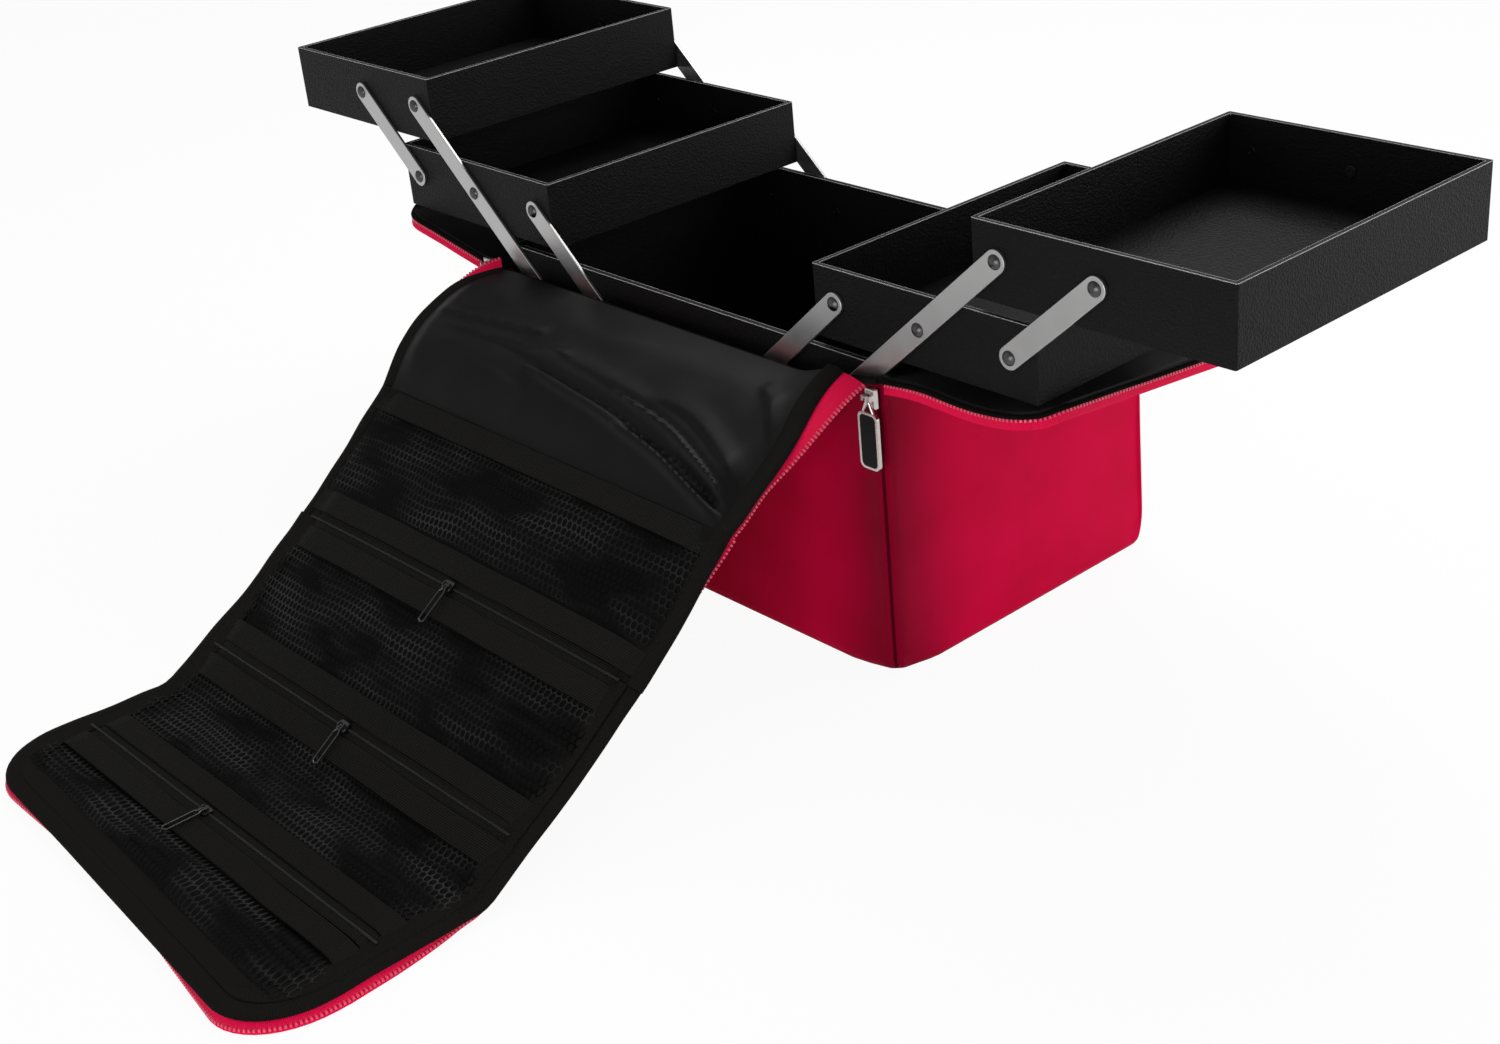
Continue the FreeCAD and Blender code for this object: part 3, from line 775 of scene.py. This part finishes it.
def flap_slabs(name, first, last, rows, lining_height):
    """The padded outer cover and the lining of one run of the flap."""
    middle = -pad * lining_share
    length = last - first

    def layer(inset, height):
        """One surface of the panel, at a height given per place."""
        def place(a, b):
            s = first + length * b
            u = (2 * a - 1) * half_width(s, inset)
            return flap(u, s, height(a, u, s))
        return place

    def outside(a, u, s):
        slack = cover_wave * bumps(u / 0.07, s / 0.06, 5.5)
        return min(middle - cover_least, cover_hollow - pad - slack + 1.5 * edge_fall(a))

    lining_top = layer(2 * cover_inset, lambda a, u, s: lining_height(a, s) - edge_fall(a))
    lining_under = layer(3 * cover_inset, lambda a, u, s: middle + cloth_gap)
    cover_top = layer(cover_inset, lambda a, u, s: middle)
    cover_under = layer(cover_inset, outside)
    size = (2 * flap_half, length)
    across, along, cloth = 96, rows, black_lining
    if name == "flap_front":
        across, along, cloth = 180, 2 * rows, black_satin
    lining = slab(f"{name}_lining_cloth", lining_top, lining_under, across, along, size, cloth)
    cover = slab(f"{name}_cover_cloth", cover_under, cover_top, 60, rows, size, red_nylon)
    return lining, cover


def along_flap(marks):
    """Points and normals at places on the flap."""
    return [flap(u, s) for u, s in marks], [flap_normal(s, u) for u, s in marks]


def end_path(first, rows, inset=0.0):
    """Points and normals down the left edge, round the end and up again."""
    bend_start = flap_end - flap_end_radius
    radius = flap_end_radius - inset
    middle = flap_half - flap_end_radius
    edge = [(inset - flap_half, s) for s in spaced(first, bend_start, rows)[:-1]]
    edge += [(-middle - radius * cos(t), bend_start + radius * sin(t)) for t in spaced(0, pi / 2, 14)]
    marks = edge + [(u, flap_end - inset) for u in spaced(-middle, middle, 24)[1:-1]]
    return along_flap(marks + [(-u, s) for u, s in reversed(edge)])


def tape_section(outward, reach, drop):
    """Section of a zip tape that hangs over an edge by a reach and a drop."""
    half = tape_thickness / 2
    bend, bend_drop = tape_bend
    falls = ((0.0, 0.0), (bend * reach, bend_drop * drop), (reach, drop))
    upper = [(out * outward, half - tape_sink - fall) for out, fall in falls]
    return upper + [(a, b - tape_thickness) for a, b in reversed(upper)]


def edge_trim(name, path, normals, outward, hang, scale, row=1.0):
    """Black binding over an edge, the red zip tape below it, and its teeth."""
    wave = [binding_wave * bumps(k / 5.0, 0.3, 8.8) for k in range(len(path))]
    along = [p + n * w for p, n, w in zip(path, normals, wave)]
    round_cord = oval(binding_width * scale, binding_height * scale, 12, -binding_sink)
    section = [(a - outward * binding_inset, b) for a, b in round_cord]
    binding = sweep(f"{name}_binding", along, normals, section, black_grosgrain)
    hung = [hang(k / (len(path) - 1)) for k in range(len(path))]
    tape = sweep(f"{name}_zip_tape", path, normals, lambda k: tape_section(outward, *hung[k]), red_tape)
    bend, bend_drop = tape_bend
    fallen = row * tape_slope
    if row > bend:
        fallen = bend_drop + (row - bend) * (1 - bend_drop) / (1 - bend)
    tooth_path = [
        p + side * (outward * reach * row) - rise * (tooth_sink + drop * fallen)
        for (p, side, rise), (reach, drop) in zip(stations(path, normals), hung)
    ]
    chain = teeth(f"{name}_zip_teeth", tooth_path, normals, red_teeth)
    return [binding, tape, chain]


def hanging(reaches, within):
    """A hang of the zip tape from one reach to another within a share of its run."""
    return lambda share: (between(reaches, ramp(share / within)), tape_drop)


def left_hang(share):
    """Left of the first panel only the start of the zip tape stands out."""
    past = min(1.0, share / 0.36)
    return between(left_tape, past), tape_drop - left_tape_rise * (1 - past)


def end_hang(share):
    """Round the flap's end the zip tape shows at both corners, most on the right."""
    right_corner = ramp(share, 0.49, 0.62) * (1 - ramp(share, 0.70, 0.83))
    out = max(0.8 * hump(share - 0.395, 0.055), right_corner)
    return between(end_tape, out), between(end_tape_drop, out)


# The tape stands well out right of the first panel, and is tucked under beside the top panel
right_hang = hanging(right_tape, 0.75)
tucked_hang = hanging(tucked_tape, 0.5)


def cross_strip(name, s, lift, width=strip_width, thickness=strip_thickness):
    """A slightly wavy tape across the flap, with its ends under the bindings."""
    half = half_width(s, strip_inset)
    path = []
    for u in spaced(-half, half, 60):
        sunk = strip_end_sink * ramp(abs(u), half - strip_sink_start, half - strip_sink_end)
        path.append(flap(u, s + strip_wave * bumps(u / 0.05, s * 40, 3.0), lift - sunk))
    return sweep(name, path, [flap_normal(s)] * len(path), strap(width, thickness), black_strip)


# Ridges in the slack nets, two to a pocket: start and end as shares across and along it,
# half the width as a share of its length, and the height in millimetres
pocket_ridges = (
    ((0.02, 0.30, 0.98, 0.72, 0.16, 4.0), (0.30, 0.12, 0.99, 0.34, 0.09, 2.5)),
    ((0.00, 0.30, 0.80, 0.34, 0.13, 3.0), (0.50, 0.78, 1.00, 0.52, 0.18, 4.5)),
    ((0.03, 0.22, 0.97, 0.42, 0.11, 4.5), (0.25, 0.76, 1.00, 0.70, 0.13, 2.5)),
    ((0.01, 0.66, 0.90, 0.74, 0.16, 3.5), (0.30, 0.30, 1.00, 0.42, 0.14, 2.5)),
)


def pocket_height(a, b, full, ridges, seed):
    """How far a filled net pocket stands off the lining."""
    round_out = sin(pi * a) ** 0.5 * sin(pi * b) ** 0.8
    height = full * (0.55 + 0.5 * bumps(a * 3.4, b * 1.6, seed + 2))
    height += net_crease * (creases(a * 5.1, b * 1.9 + a * 1.7, seed) + bumps(a * 9, b * 2.6, seed))
    for start_a, start_b, end_a, end_b, width, size in ridges:
        x = (a - start_a) / (end_a - start_a)
        if 0 < x < 1:
            crest = start_b + (end_b - start_b) * x + 0.08 * bumps(a * 4, seed, 7.7)
            height += size * MM * sin(pi * x) ** 0.6 * hump(b - crest, width)
    return net_least + round_out * max(0.0, height)


def net(name, first, last, full, ridges, seed):
    """A knitted net pocket: a sheet of six-sided holes, sewn down all round."""
    radius = net_cell / sqrt(3)
    turns = [pi / 6 + pi / 3 * k for k in range(6)]
    ring = [(radius * cos(t), radius * sin(t) * net_stretch) for t in turns]
    row_step = 1.5 * radius * net_stretch
    rows = int((last - first - 2 * radius * net_stretch) / row_step)
    net_half = flap_half - net_edge
    spots, verts, faces, uvs = {}, [], [], []

    def spot(u, s, lift=0.0):
        key = (round(u / MM, 2), round(s / MM, 2))
        if key not in spots:
            spots[key] = len(verts)
            a = clamp((u / net_half + 1) / 2)
            b = clamp((s - first) / (last - first))
            free = 4 * b * (1 - b) * ramp(min(a, 1 - a) / 0.1)
            drawn_u = u + free * net_drift.x * bumps(u / 0.045, s / 0.035, seed + 5)
            drawn_s = s + free * net_drift.y * bumps(u / 0.040, s / 0.035, seed + 9)
            verts.append(flap(drawn_u, drawn_s, lift + pocket_height(a, b, full, ridges, seed)))
            uvs.append((u, s))
        return spots[key]

    for row in range(rows + 1):
        s = first + radius * net_stretch + row * row_step
        columns = int((half_width(s, net_edge) - radius) / net_cell)
        for column in range(-columns, columns + 1):
            u = column * net_cell + net_cell / 2 * (row % 2)
            outer = [spot(u + x, s + y, net_ridge) for x, y in ring]
            inner = [spot(u + x * net_hole_share, s + y * net_hole_share) for x, y in ring]
            faces += [(outer[k], outer[k - 5], inner[k - 5], inner[k]) for k in range(6)]
    made = make_piece(name, verts, faces, uvs, black_net, solid=False, sharp=180)
    return made


def across_fold_1(piece):
    """Bakes a piece's placement into its mesh; it lies across the fold between the front and the top
    panel.
    """
    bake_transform(piece)


def across_fold_2(piece):
    """Bakes a piece's placement into its mesh; it lies across the fold between the top and the back
    panel.
    """
    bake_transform(piece)


def with_front(piece):
    """Rides a piece on the front panel, with a mesh of its own."""
    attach(piece, "flap_front")
    tuple(front.rise)
    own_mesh(piece)


def make_flap():
    """The three-panel flap with its lining, cover, bindings and zip."""
    runs = (
        ("flap_front", 0.0, top.first, 34, plain_lining, with_front, ["flap_front"]),
        ("flap_top", top.first, flap_cut, 26, pocket_lining, across_fold_1, ["flap_top"]),
        ("flap_back", flap_cut, flap_end, 72, pocket_lining, across_fold_2, ["flap_top", "flap_back"]),
    )
    sides = (("left", -1, left_hang, left_trim), ("right", 1, right_hang, right_trim))
    for name, first, last, rows, lining_height, follow, panels in runs:
        lining, cover = flap_slabs(name, first, last, rows, lining_height)
        settle(lining, "black_lining", *(f"{panel}_lining" for panel in panels), fill=0.2)
        settle(cover, "red_nylon", *(f"{panel}_cover" for panel in panels), fill=0.4)
        pieces = [lining, cover]
        trim = []
        if name == "flap_back":
            trim += edge_trim(f"{name}_edge", *end_path(first, 40), 1, end_hang, end_trim, row=0.85)
            inner = end_path(first, 40, border_inset)
            section = strap(border_width, strip_thickness, border_lift)
            border = sweep(f"{name}_border", *inner, section, black_grosgrain)
            pieces.append(border)
        else:
            for label, side, beside_front, scale in sides:
                hang = beside_front if name == "flap_front" else tucked_hang
                edge = along_flap([(side * flap_half, s) for s in spaced(first, last, rows)])
                trim += edge_trim(f"{name}_{label}", *edge, -side, hang, scale)
        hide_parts(*(f"{panel}_zip" for panel in panels))
        for piece in pieces + trim:
            follow(piece)


def make_pockets():
    """Net pockets, the strips that bind them, and their zips."""
    zips = [top.first + z for z in zip_on_top] + [back.first + zip_on_back]
    half_gap = pocket_tape_width / 2 + strip_width - net_tuck
    starts = [top.first + net_start] + [z + half_gap for z in zips]
    ends = [z - half_gap for z in zips] + [flap_end - net_end]
    for k, (first, last) in enumerate(zip(starts, ends)):
        made = net(f"pocket_net_{k + 1}", first, last, net_fullness[k], pocket_ridges[k], 11.0 + 3.7 * k)
        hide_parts(f"pocket_mesh_{k + 1}")
        if k == 0:
            across_fold_1(made)
        elif k == 2:
            across_fold_2(made)
        else:
            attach(made, "flap_top" if k == 1 else "flap_back")
    hem = cross_strip("pocket_hem", top.first + hem_place, hem_lift)
    across_fold_1(hem)
    offset = (pocket_tape_width + strip_width) / 2
    for k, z in enumerate(zips, 1):
        pieces = []
        for label, s in (("upper", z - offset), ("lower", z + offset)):
            pieces.append(cross_strip(f"pocket_strip_{k}_{label}", s, strip_lift))
        width = pocket_tape_width + pocket_tape_seam
        tape = cross_strip(f"pocket_zip_tape_{k}", z, pocket_tape_lift, width, pocket_tape_thickness)
        settle(tape, "black_zip", f"pocket_zip_{k}")
        path = [flap(u * coil_share, z, coil_lift) for u in spaced(-pocket_half, pocket_half, 40)]
        normals = [flap_normal(z)] * len(path)
        coil = teeth(f"pocket_zip_coil_{k}", path, normals, black_coil, coil_pitch, coil_size)
        for piece in pieces + [tape, coil]:
            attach(piece, "flap_back" if k == 3 else "flap_top")


def rounded_ring(half_x, half_y, radius, steps, long_steps=24):
    """Points of a rounded rectangle, from its front left corner round to the right."""
    inner_x, inner_y = half_x - radius, half_y - radius
    middles = [(inner_x * x, inner_y * y) for x, y in ((-1, -1), (1, -1), (1, 1), (-1, 1))]
    made = []
    for quarter, (x, y) in enumerate(middles):
        start = pi + pi / 2 * quarter
        turns = spaced(start, start + pi / 2, steps)
        made += [Vector((x + radius * cos(t), y + radius * sin(t))) for t in turns]
        corner = made[-1]
        side = Vector(middles[quarter - 3]) - Vector((x, y))
        made += [corner + side * (k / long_steps) for k in range(1, long_steps)]
    return made


def dent(x, place, width, depth):
    """The depth of a rounded dent."""
    return depth * hump(x - place, width)


def wall_slack(x, y, height):
    """How far the bag's walls stand in or out, shallow at their seams."""
    on_long_wall = abs(y) > bag_high.y - bag_radius
    reach, along = (bag_high.x, x) if on_long_wall else (bag_high.y, y)
    level = height / bag_high.z
    slack = wall_wave * bumps(along / 0.12, level * 1.4, y * 3) - wall_hollow * sin(pi * level)
    if not on_long_wall:
        slack -= dent(bag_high.y + y, *side_dent)
    elif y < 0:
        slack -= dent(bag_high.x - abs(x), *front_roll) * ramp(level, 0.05, 0.35)
        slack -= dent(height + abs(x) / 2, *front_fold) * ramp(abs(x), *front_fold_starts)
    return slack * ramp((1 - abs(along) / reach) / 0.08)


def foot_reach(foot, height):
    """How far a rounded foot is drawn in at a height."""
    reach, tall = foot
    return reach * rounded(1 - height / tall, 1.0)


def bag_point(flat, outward, in_corner, height, inset=0.0):
    """A point of the bag's cloth over a point of its outline."""
    sides = 1 - foot_reach(bag_side_foot, height) / bag_high.x
    ends = 1 - foot_reach(bag_back_foot if flat.y > 0 else bag_front_foot, height) / bag_high.y
    fade = ramp(height / wall_foot_fade) * ramp((bag_high.z - height) / wall_top_fade)
    depth = wall_slack(flat.x, flat.y, height) * fade
    depth -= seam_depth * in_corner * ramp(height / seam_foot_fade)
    spot = Vector((flat.x * sides, flat.y * ends)) + outward * (depth - inset)
    drawn_in = ramp(flat.y / bag_high.y, 0.6) * (1 - ramp(height, *back_draw_ends))
    drawn_in *= 0.75 + 0.25 * ramp(height / back_draw_full)
    lift = mouth_rise(flat.x, flat.y) * ramp(height, *mouth_lift_starts)
    if flat.y < 0:
        from_corner = bag_high.x - abs(flat.x) + bag_high.y - abs(flat.y)
        near = 1 - ramp(from_corner / foot_corner_reach)
        lift += foot_corner_lift * near * (1 - ramp(height / foot_corner_height))
    return Vector((spot.x, spot.y - bag_back_draw * drawn_in, height + lift))


def make_bag():
    """The soft red bag: a shell with slack walls, a rounded foot and sunk seams."""
    steps = 10
    base = rounded_ring(bag_high.x, bag_high.y, bag_radius, steps)
    count = len(base)
    side_count = count // 4
    girth = run_lengths(base)
    outward, in_corner = [], []
    for k in range(count):
        run = (base[(k + 1) % count] - base[k - 1]).normalized()
        outward.append(Vector((run.y, -run.x)))
        in_corner.append(max(0.0, 1 - abs(k % side_count - steps / 2) / 2.5))

    def ring(height, inset=0.0, seam=0.0):
        """The bag's cloth at one height."""
        outline = zip(base, outward, in_corner)
        return [bag_point(flat, out, seam * corner, height, inset) for flat, out, corner in outline]

    foot_height = bag_back_foot[1]
    top_height = bag_high.z - bag_wall / 2
    heights = [foot_height * (1 - cos(t)) for t in spaced(0, pi / 2, 14)]
    heights += spaced(foot_height, top_height, 26)[1:]
    rows = [[Vector((p.x * share, p.y * share, 0)) for p in ring(0.0)] for share in (0.1, 0.4, 0.7, 0.9)]
    rows += [ring(height, seam=1.0) for height in heights]
    for turn in spaced(0, pi, 4)[1:]:
        rows.append(ring(top_height + bag_wall / 2 * sin(turn), bag_wall / 2 * (1 - cos(turn))))
    rows += [ring(top_height - wall_row * k, bag_wall) for k in range(1, 5)]
    verts = [point for row in rows for point in row]
    uvs = [(girth[k], point.z) for row in rows for k, point in enumerate(row)]
    faces = [tuple(reversed(range(count)))] + ring_faces(count, len(rows))
    shell = make_piece("bag_shell", verts, faces, uvs, red_bag_painted_shade, solid=False)
    settle(shell, "red_nylon", "bag_body", fill=0.3)
    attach(shell, "case")
    levels = spaced(seam_end, bag_high.z - seam_end, 40)
    for corner in range(4):
        k = corner * side_count + steps // 2
        out = outward[k].to_3d()
        # Seam cords, darkened by painted shade
        path = [bag_point(base[k], outward[k], 1.0, z) + out * seam_rise for z in levels]
        section = oval(*seam_size, 8)
        welt = sweep(f"bag_corner_seam_{corner + 1}", path, [out] * len(path), section, red_seam_painted_shade)
        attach(welt, "case")


def make_mouth():
    """Black binding round the bag's mouth."""
    steps = 8
    half_x, half_y = bag_high.x - mouth_inset, bag_high.y - mouth_inset
    outline = rounded_ring(half_x, half_y, bag_radius - bag_wall / 2, steps)
    side_count = len(outline) // 4
    outline += outline[:steps]
    closed_by = {"front": "flap_close", "right": "right_collar_raise", "left": "left_collar_raise"}
    for k, label in enumerate(("front", "right", "back", "left")):
        first = k * side_count + steps // 2
        run = outline[first : first + side_count + 1]
        path = [Vector((p.x, p.y, bag_high.z + mouth_gap + mouth_rise(p.x, p.y))) for p in run]
        up = [Vector((0, 0, 1))] * len(path)
        section = oval(mouth_width, mouth_height)
        made = sweep(f"mouth_binding_{label}", path, up, section, black_grosgrain)
        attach(made, "case")
        if label in closed_by:
            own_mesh(made)


def make_back_zip():
    """The half of the main zip that stays on the back of the bag."""
    half = bag_high.x - bag_radius
    to_edge = Vector((0, back_tape_gap, back_tape_width / 2))
    start = Vector((0, bag_high.y + back_tape_gap, bag_high.z - back_tape_width / 2))
    path = [start + Vector((x, 0, 0)) for x in spaced(-half, half, 40)]
    outward = [Vector((0, 1, 0))] * len(path)
    tape = sweep("back_zip_cloth", path, outward, strap(back_tape_width, tape_thickness), red_tape)
    chain = teeth("back_zip_teeth", [p + to_edge for p in path], outward, red_teeth)
    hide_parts("back_zip_tape")
    for piece in (tape, chain):
        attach(piece, "case")


def make_collar(name, sign):
    """A padded side collar that lies open beside the box, under the lower tray."""
    low, high = corners(f"{name}_cover")
    pivot = anchor(f"{name}_raise")
    start = abs(pivot.x)
    reach = max(abs(low.x), abs(high.x)) - start
    half_depth = high.y
    radius = collar_radius
    straight = reach - radius
    inner_depth = half_depth - radius

    def at(d, y, n=0.0):
        """A point of the collar: d out from its hinge, n above its middle."""
        share = max(0.0, d / reach)
        lift = (collar_lift - collar_droop * (y / half_depth + 1) / 2) * share
        lift += mouth_rise(sign * start, y) * (1 - ramp(share / 0.8))
        lift += collar_upturn * ramp(d - reach, *collar_bend)
        wave = collar_wave * bumps(d / 0.05, y / 0.06, 6.0 + sign) * sin(pi * min(1.0, share))
        return Vector((sign * (start + d), y, pivot.z + collar_gap + lift + wave + n))

    def sheet(level):
        """One surface of the collar, with its rounded free corners."""
        def place(a, b):
            d = (reach + collar_root) * b - collar_root
            depth = half_depth - rounded(d - straight, radius)
            return at(d, (2 * a - 1) * (depth - cover_inset), level)
        return place

    size = (2 * half_depth, reach)
    half_pad = collar_pad / 2
    lining = slab(f"{name}_lining_cloth", sheet(half_pad), sheet(0.0), 48, 30, size, black_satin)
    under = sheet(-collar_seam)
    cover = slab(f"{name}_cover_cloth", under, sheet(-half_pad), 48, 30, size, red_nylon)
    settle(lining, "black_lining", f"{name}_lining", fill=0.1)
    settle(cover, "red_nylon", f"{name}_cover", fill=0.2)
    marks = [(d, -half_depth) for d in spaced(0, straight, 20)[:-1]]
    turns = spaced(0, pi / 2, 12)
    marks += [(straight + radius * sin(t), -inner_depth - radius * cos(t)) for t in turns]
    marks += [(reach, y) for y in spaced(-inner_depth, 0, 12)[1:-1]]
    marks += [(d, -y) for d, y in reversed(marks)]
    path = [at(d, y) for d, y in marks]
    up = [Vector((0, 0, 1))] * len(path)
    trim = edge_trim(name, path, up, sign, lambda share: collar_tape, collar_trim, row=0.4)
    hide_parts(f"{name}_zip")
    for piece in [lining, cover] + trim:
        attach(piece, name)
        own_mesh(piece)


def make_handle():
    """A webbing handle, sewn to the outside of the top panel at both feet."""
    foot_end = corners("carry_handle")[1].x
    grip_half = foot_end - handle_foot
    middle = top.first + top.length / 2
    path = []
    for u in spaced(-foot_end, foot_end, 60):
        arch = max(0.0, 1 - (u / grip_half) ** 2) ** 0.6
        path.append(flap(u, middle, -pad - handle_gap - handle_rise * arch))
    outward = [-flap_normal(middle)] * len(path)
    band = sweep("carry_handle_webbing", path, outward, strap(*handle_size), red_tape)
    settle(band, "red_nylon", "carry_handle")
    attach(band, "flap_top")


def finish_rigid_nodes():
    """Finishes for the rigid pieces, which keep their own shapes."""
    endings = {
        "_rivets": nickel, "_link_front": aluminium, "_link_rear": aluminium, "_main_slider": pale_metal,
        "_main_pull": pale_metal, "_main_pull_inlay": black_inlay,
    }
    for name, shown in frame["nodes"].items():
        finish = next((made for ending, made in endings.items() if name.endswith(ending)), None)
        if name.endswith("_tray") or name == "inner_box":
            finish = leatherette(f"leatherette_{name}", corners(name)[1].z)
        if name.startswith(("pocket_slider", "pocket_pull")):
            finish = black_metal
        if finish is not None:
            shown.data.materials.clear()
            shown.data.materials.append(finish)


def make_camera():
    """The camera at the photograph's viewing angle."""
    data = bpy.data.cameras.new("camera")
    data.sensor_width = sensor_width_mm
    data.lens = sensor_width_mm * focal_length_px / picture_width_px
    made = add_object("camera", data)
    turned = Matrix.Translation(camera_place)
    for angle, axis in ((camera_azimuth, "Z"), (pi / 2 - camera_elevation, "X"), (camera_roll, "Z")):
        turned = turned @ Matrix.Rotation(angle, 4, axis)
    made.matrix_world = turned
    bpy.context.scene.camera = made


def make_lamp(name, place, target, size, power):
    """A soft square lamp turned to a point."""
    data = bpy.data.lights.new(name, "AREA")
    data.shape = "SQUARE"
    data.size = size
    data.energy = power
    made = add_object(name, data)
    made.location = place
    made.rotation_euler = (Vector(target) - Vector(place)).to_track_quat("-Z", "Y").to_euler()


def make_stage():
    """A floor that looks near white and keeps a faint shadow, the sky and the lamps."""
    mesh = bpy.data.meshes.new("floor")
    outline = [(floor_half * x, floor_half * y, 0) for x, y in ((-1, -1), (1, -1), (1, 1), (-1, 1))]
    mesh.from_pydata(outline, [], [(0, 1, 2, 3)])
    floor = add_object("floor", mesh)
    made = bpy.data.materials.new("floor_white")
    made.use_nodes = True
    tree = made.node_tree
    tree.nodes.clear()
    rays = node(tree, "LightPath").outputs
    seen = calc(tree, "MAXIMUM", rays["Is Camera Ray"], rays["Is Glossy Ray"])
    seen = calc(tree, "MAXIMUM", seen, rays["Is Transmission Ray"])
    share = calc(tree, "MULTIPLY", seen, floor_glow)
    paint = node(tree, "BsdfDiffuse", {"Color": (0.85, 0.85, 0.85, 1)}).outputs[0]
    glow = node(tree, "Emission", {"Color": (1, 1, 1, 1), "Strength": 1.0}).outputs[0]
    both = node(tree, "MixShader", {0: share, 1: paint, 2: glow}).outputs[0]
    node(tree, "OutputMaterial", {"Surface": both})
    mesh.materials.append(made)
    world = bpy.data.worlds.new("studio")
    world.use_nodes = True
    sky = world.node_tree.nodes["Background"].inputs
    sky["Color"].default_value = (1, 1, 1, 1)
    sky["Strength"].default_value = sky_strength
    bpy.context.scene.world = world
    for name, lamp in lamps.items():
        make_lamp(name, *lamp)


make_camera()
make_stage()
finish_rigid_nodes()
make_bag()
make_mouth()
make_back_zip()
make_collar("right_collar", 1)
make_collar("left_collar", -1)
make_flap()
make_pockets()
make_handle()
bpy.context.scene.view_settings.view_transform = "Standard"
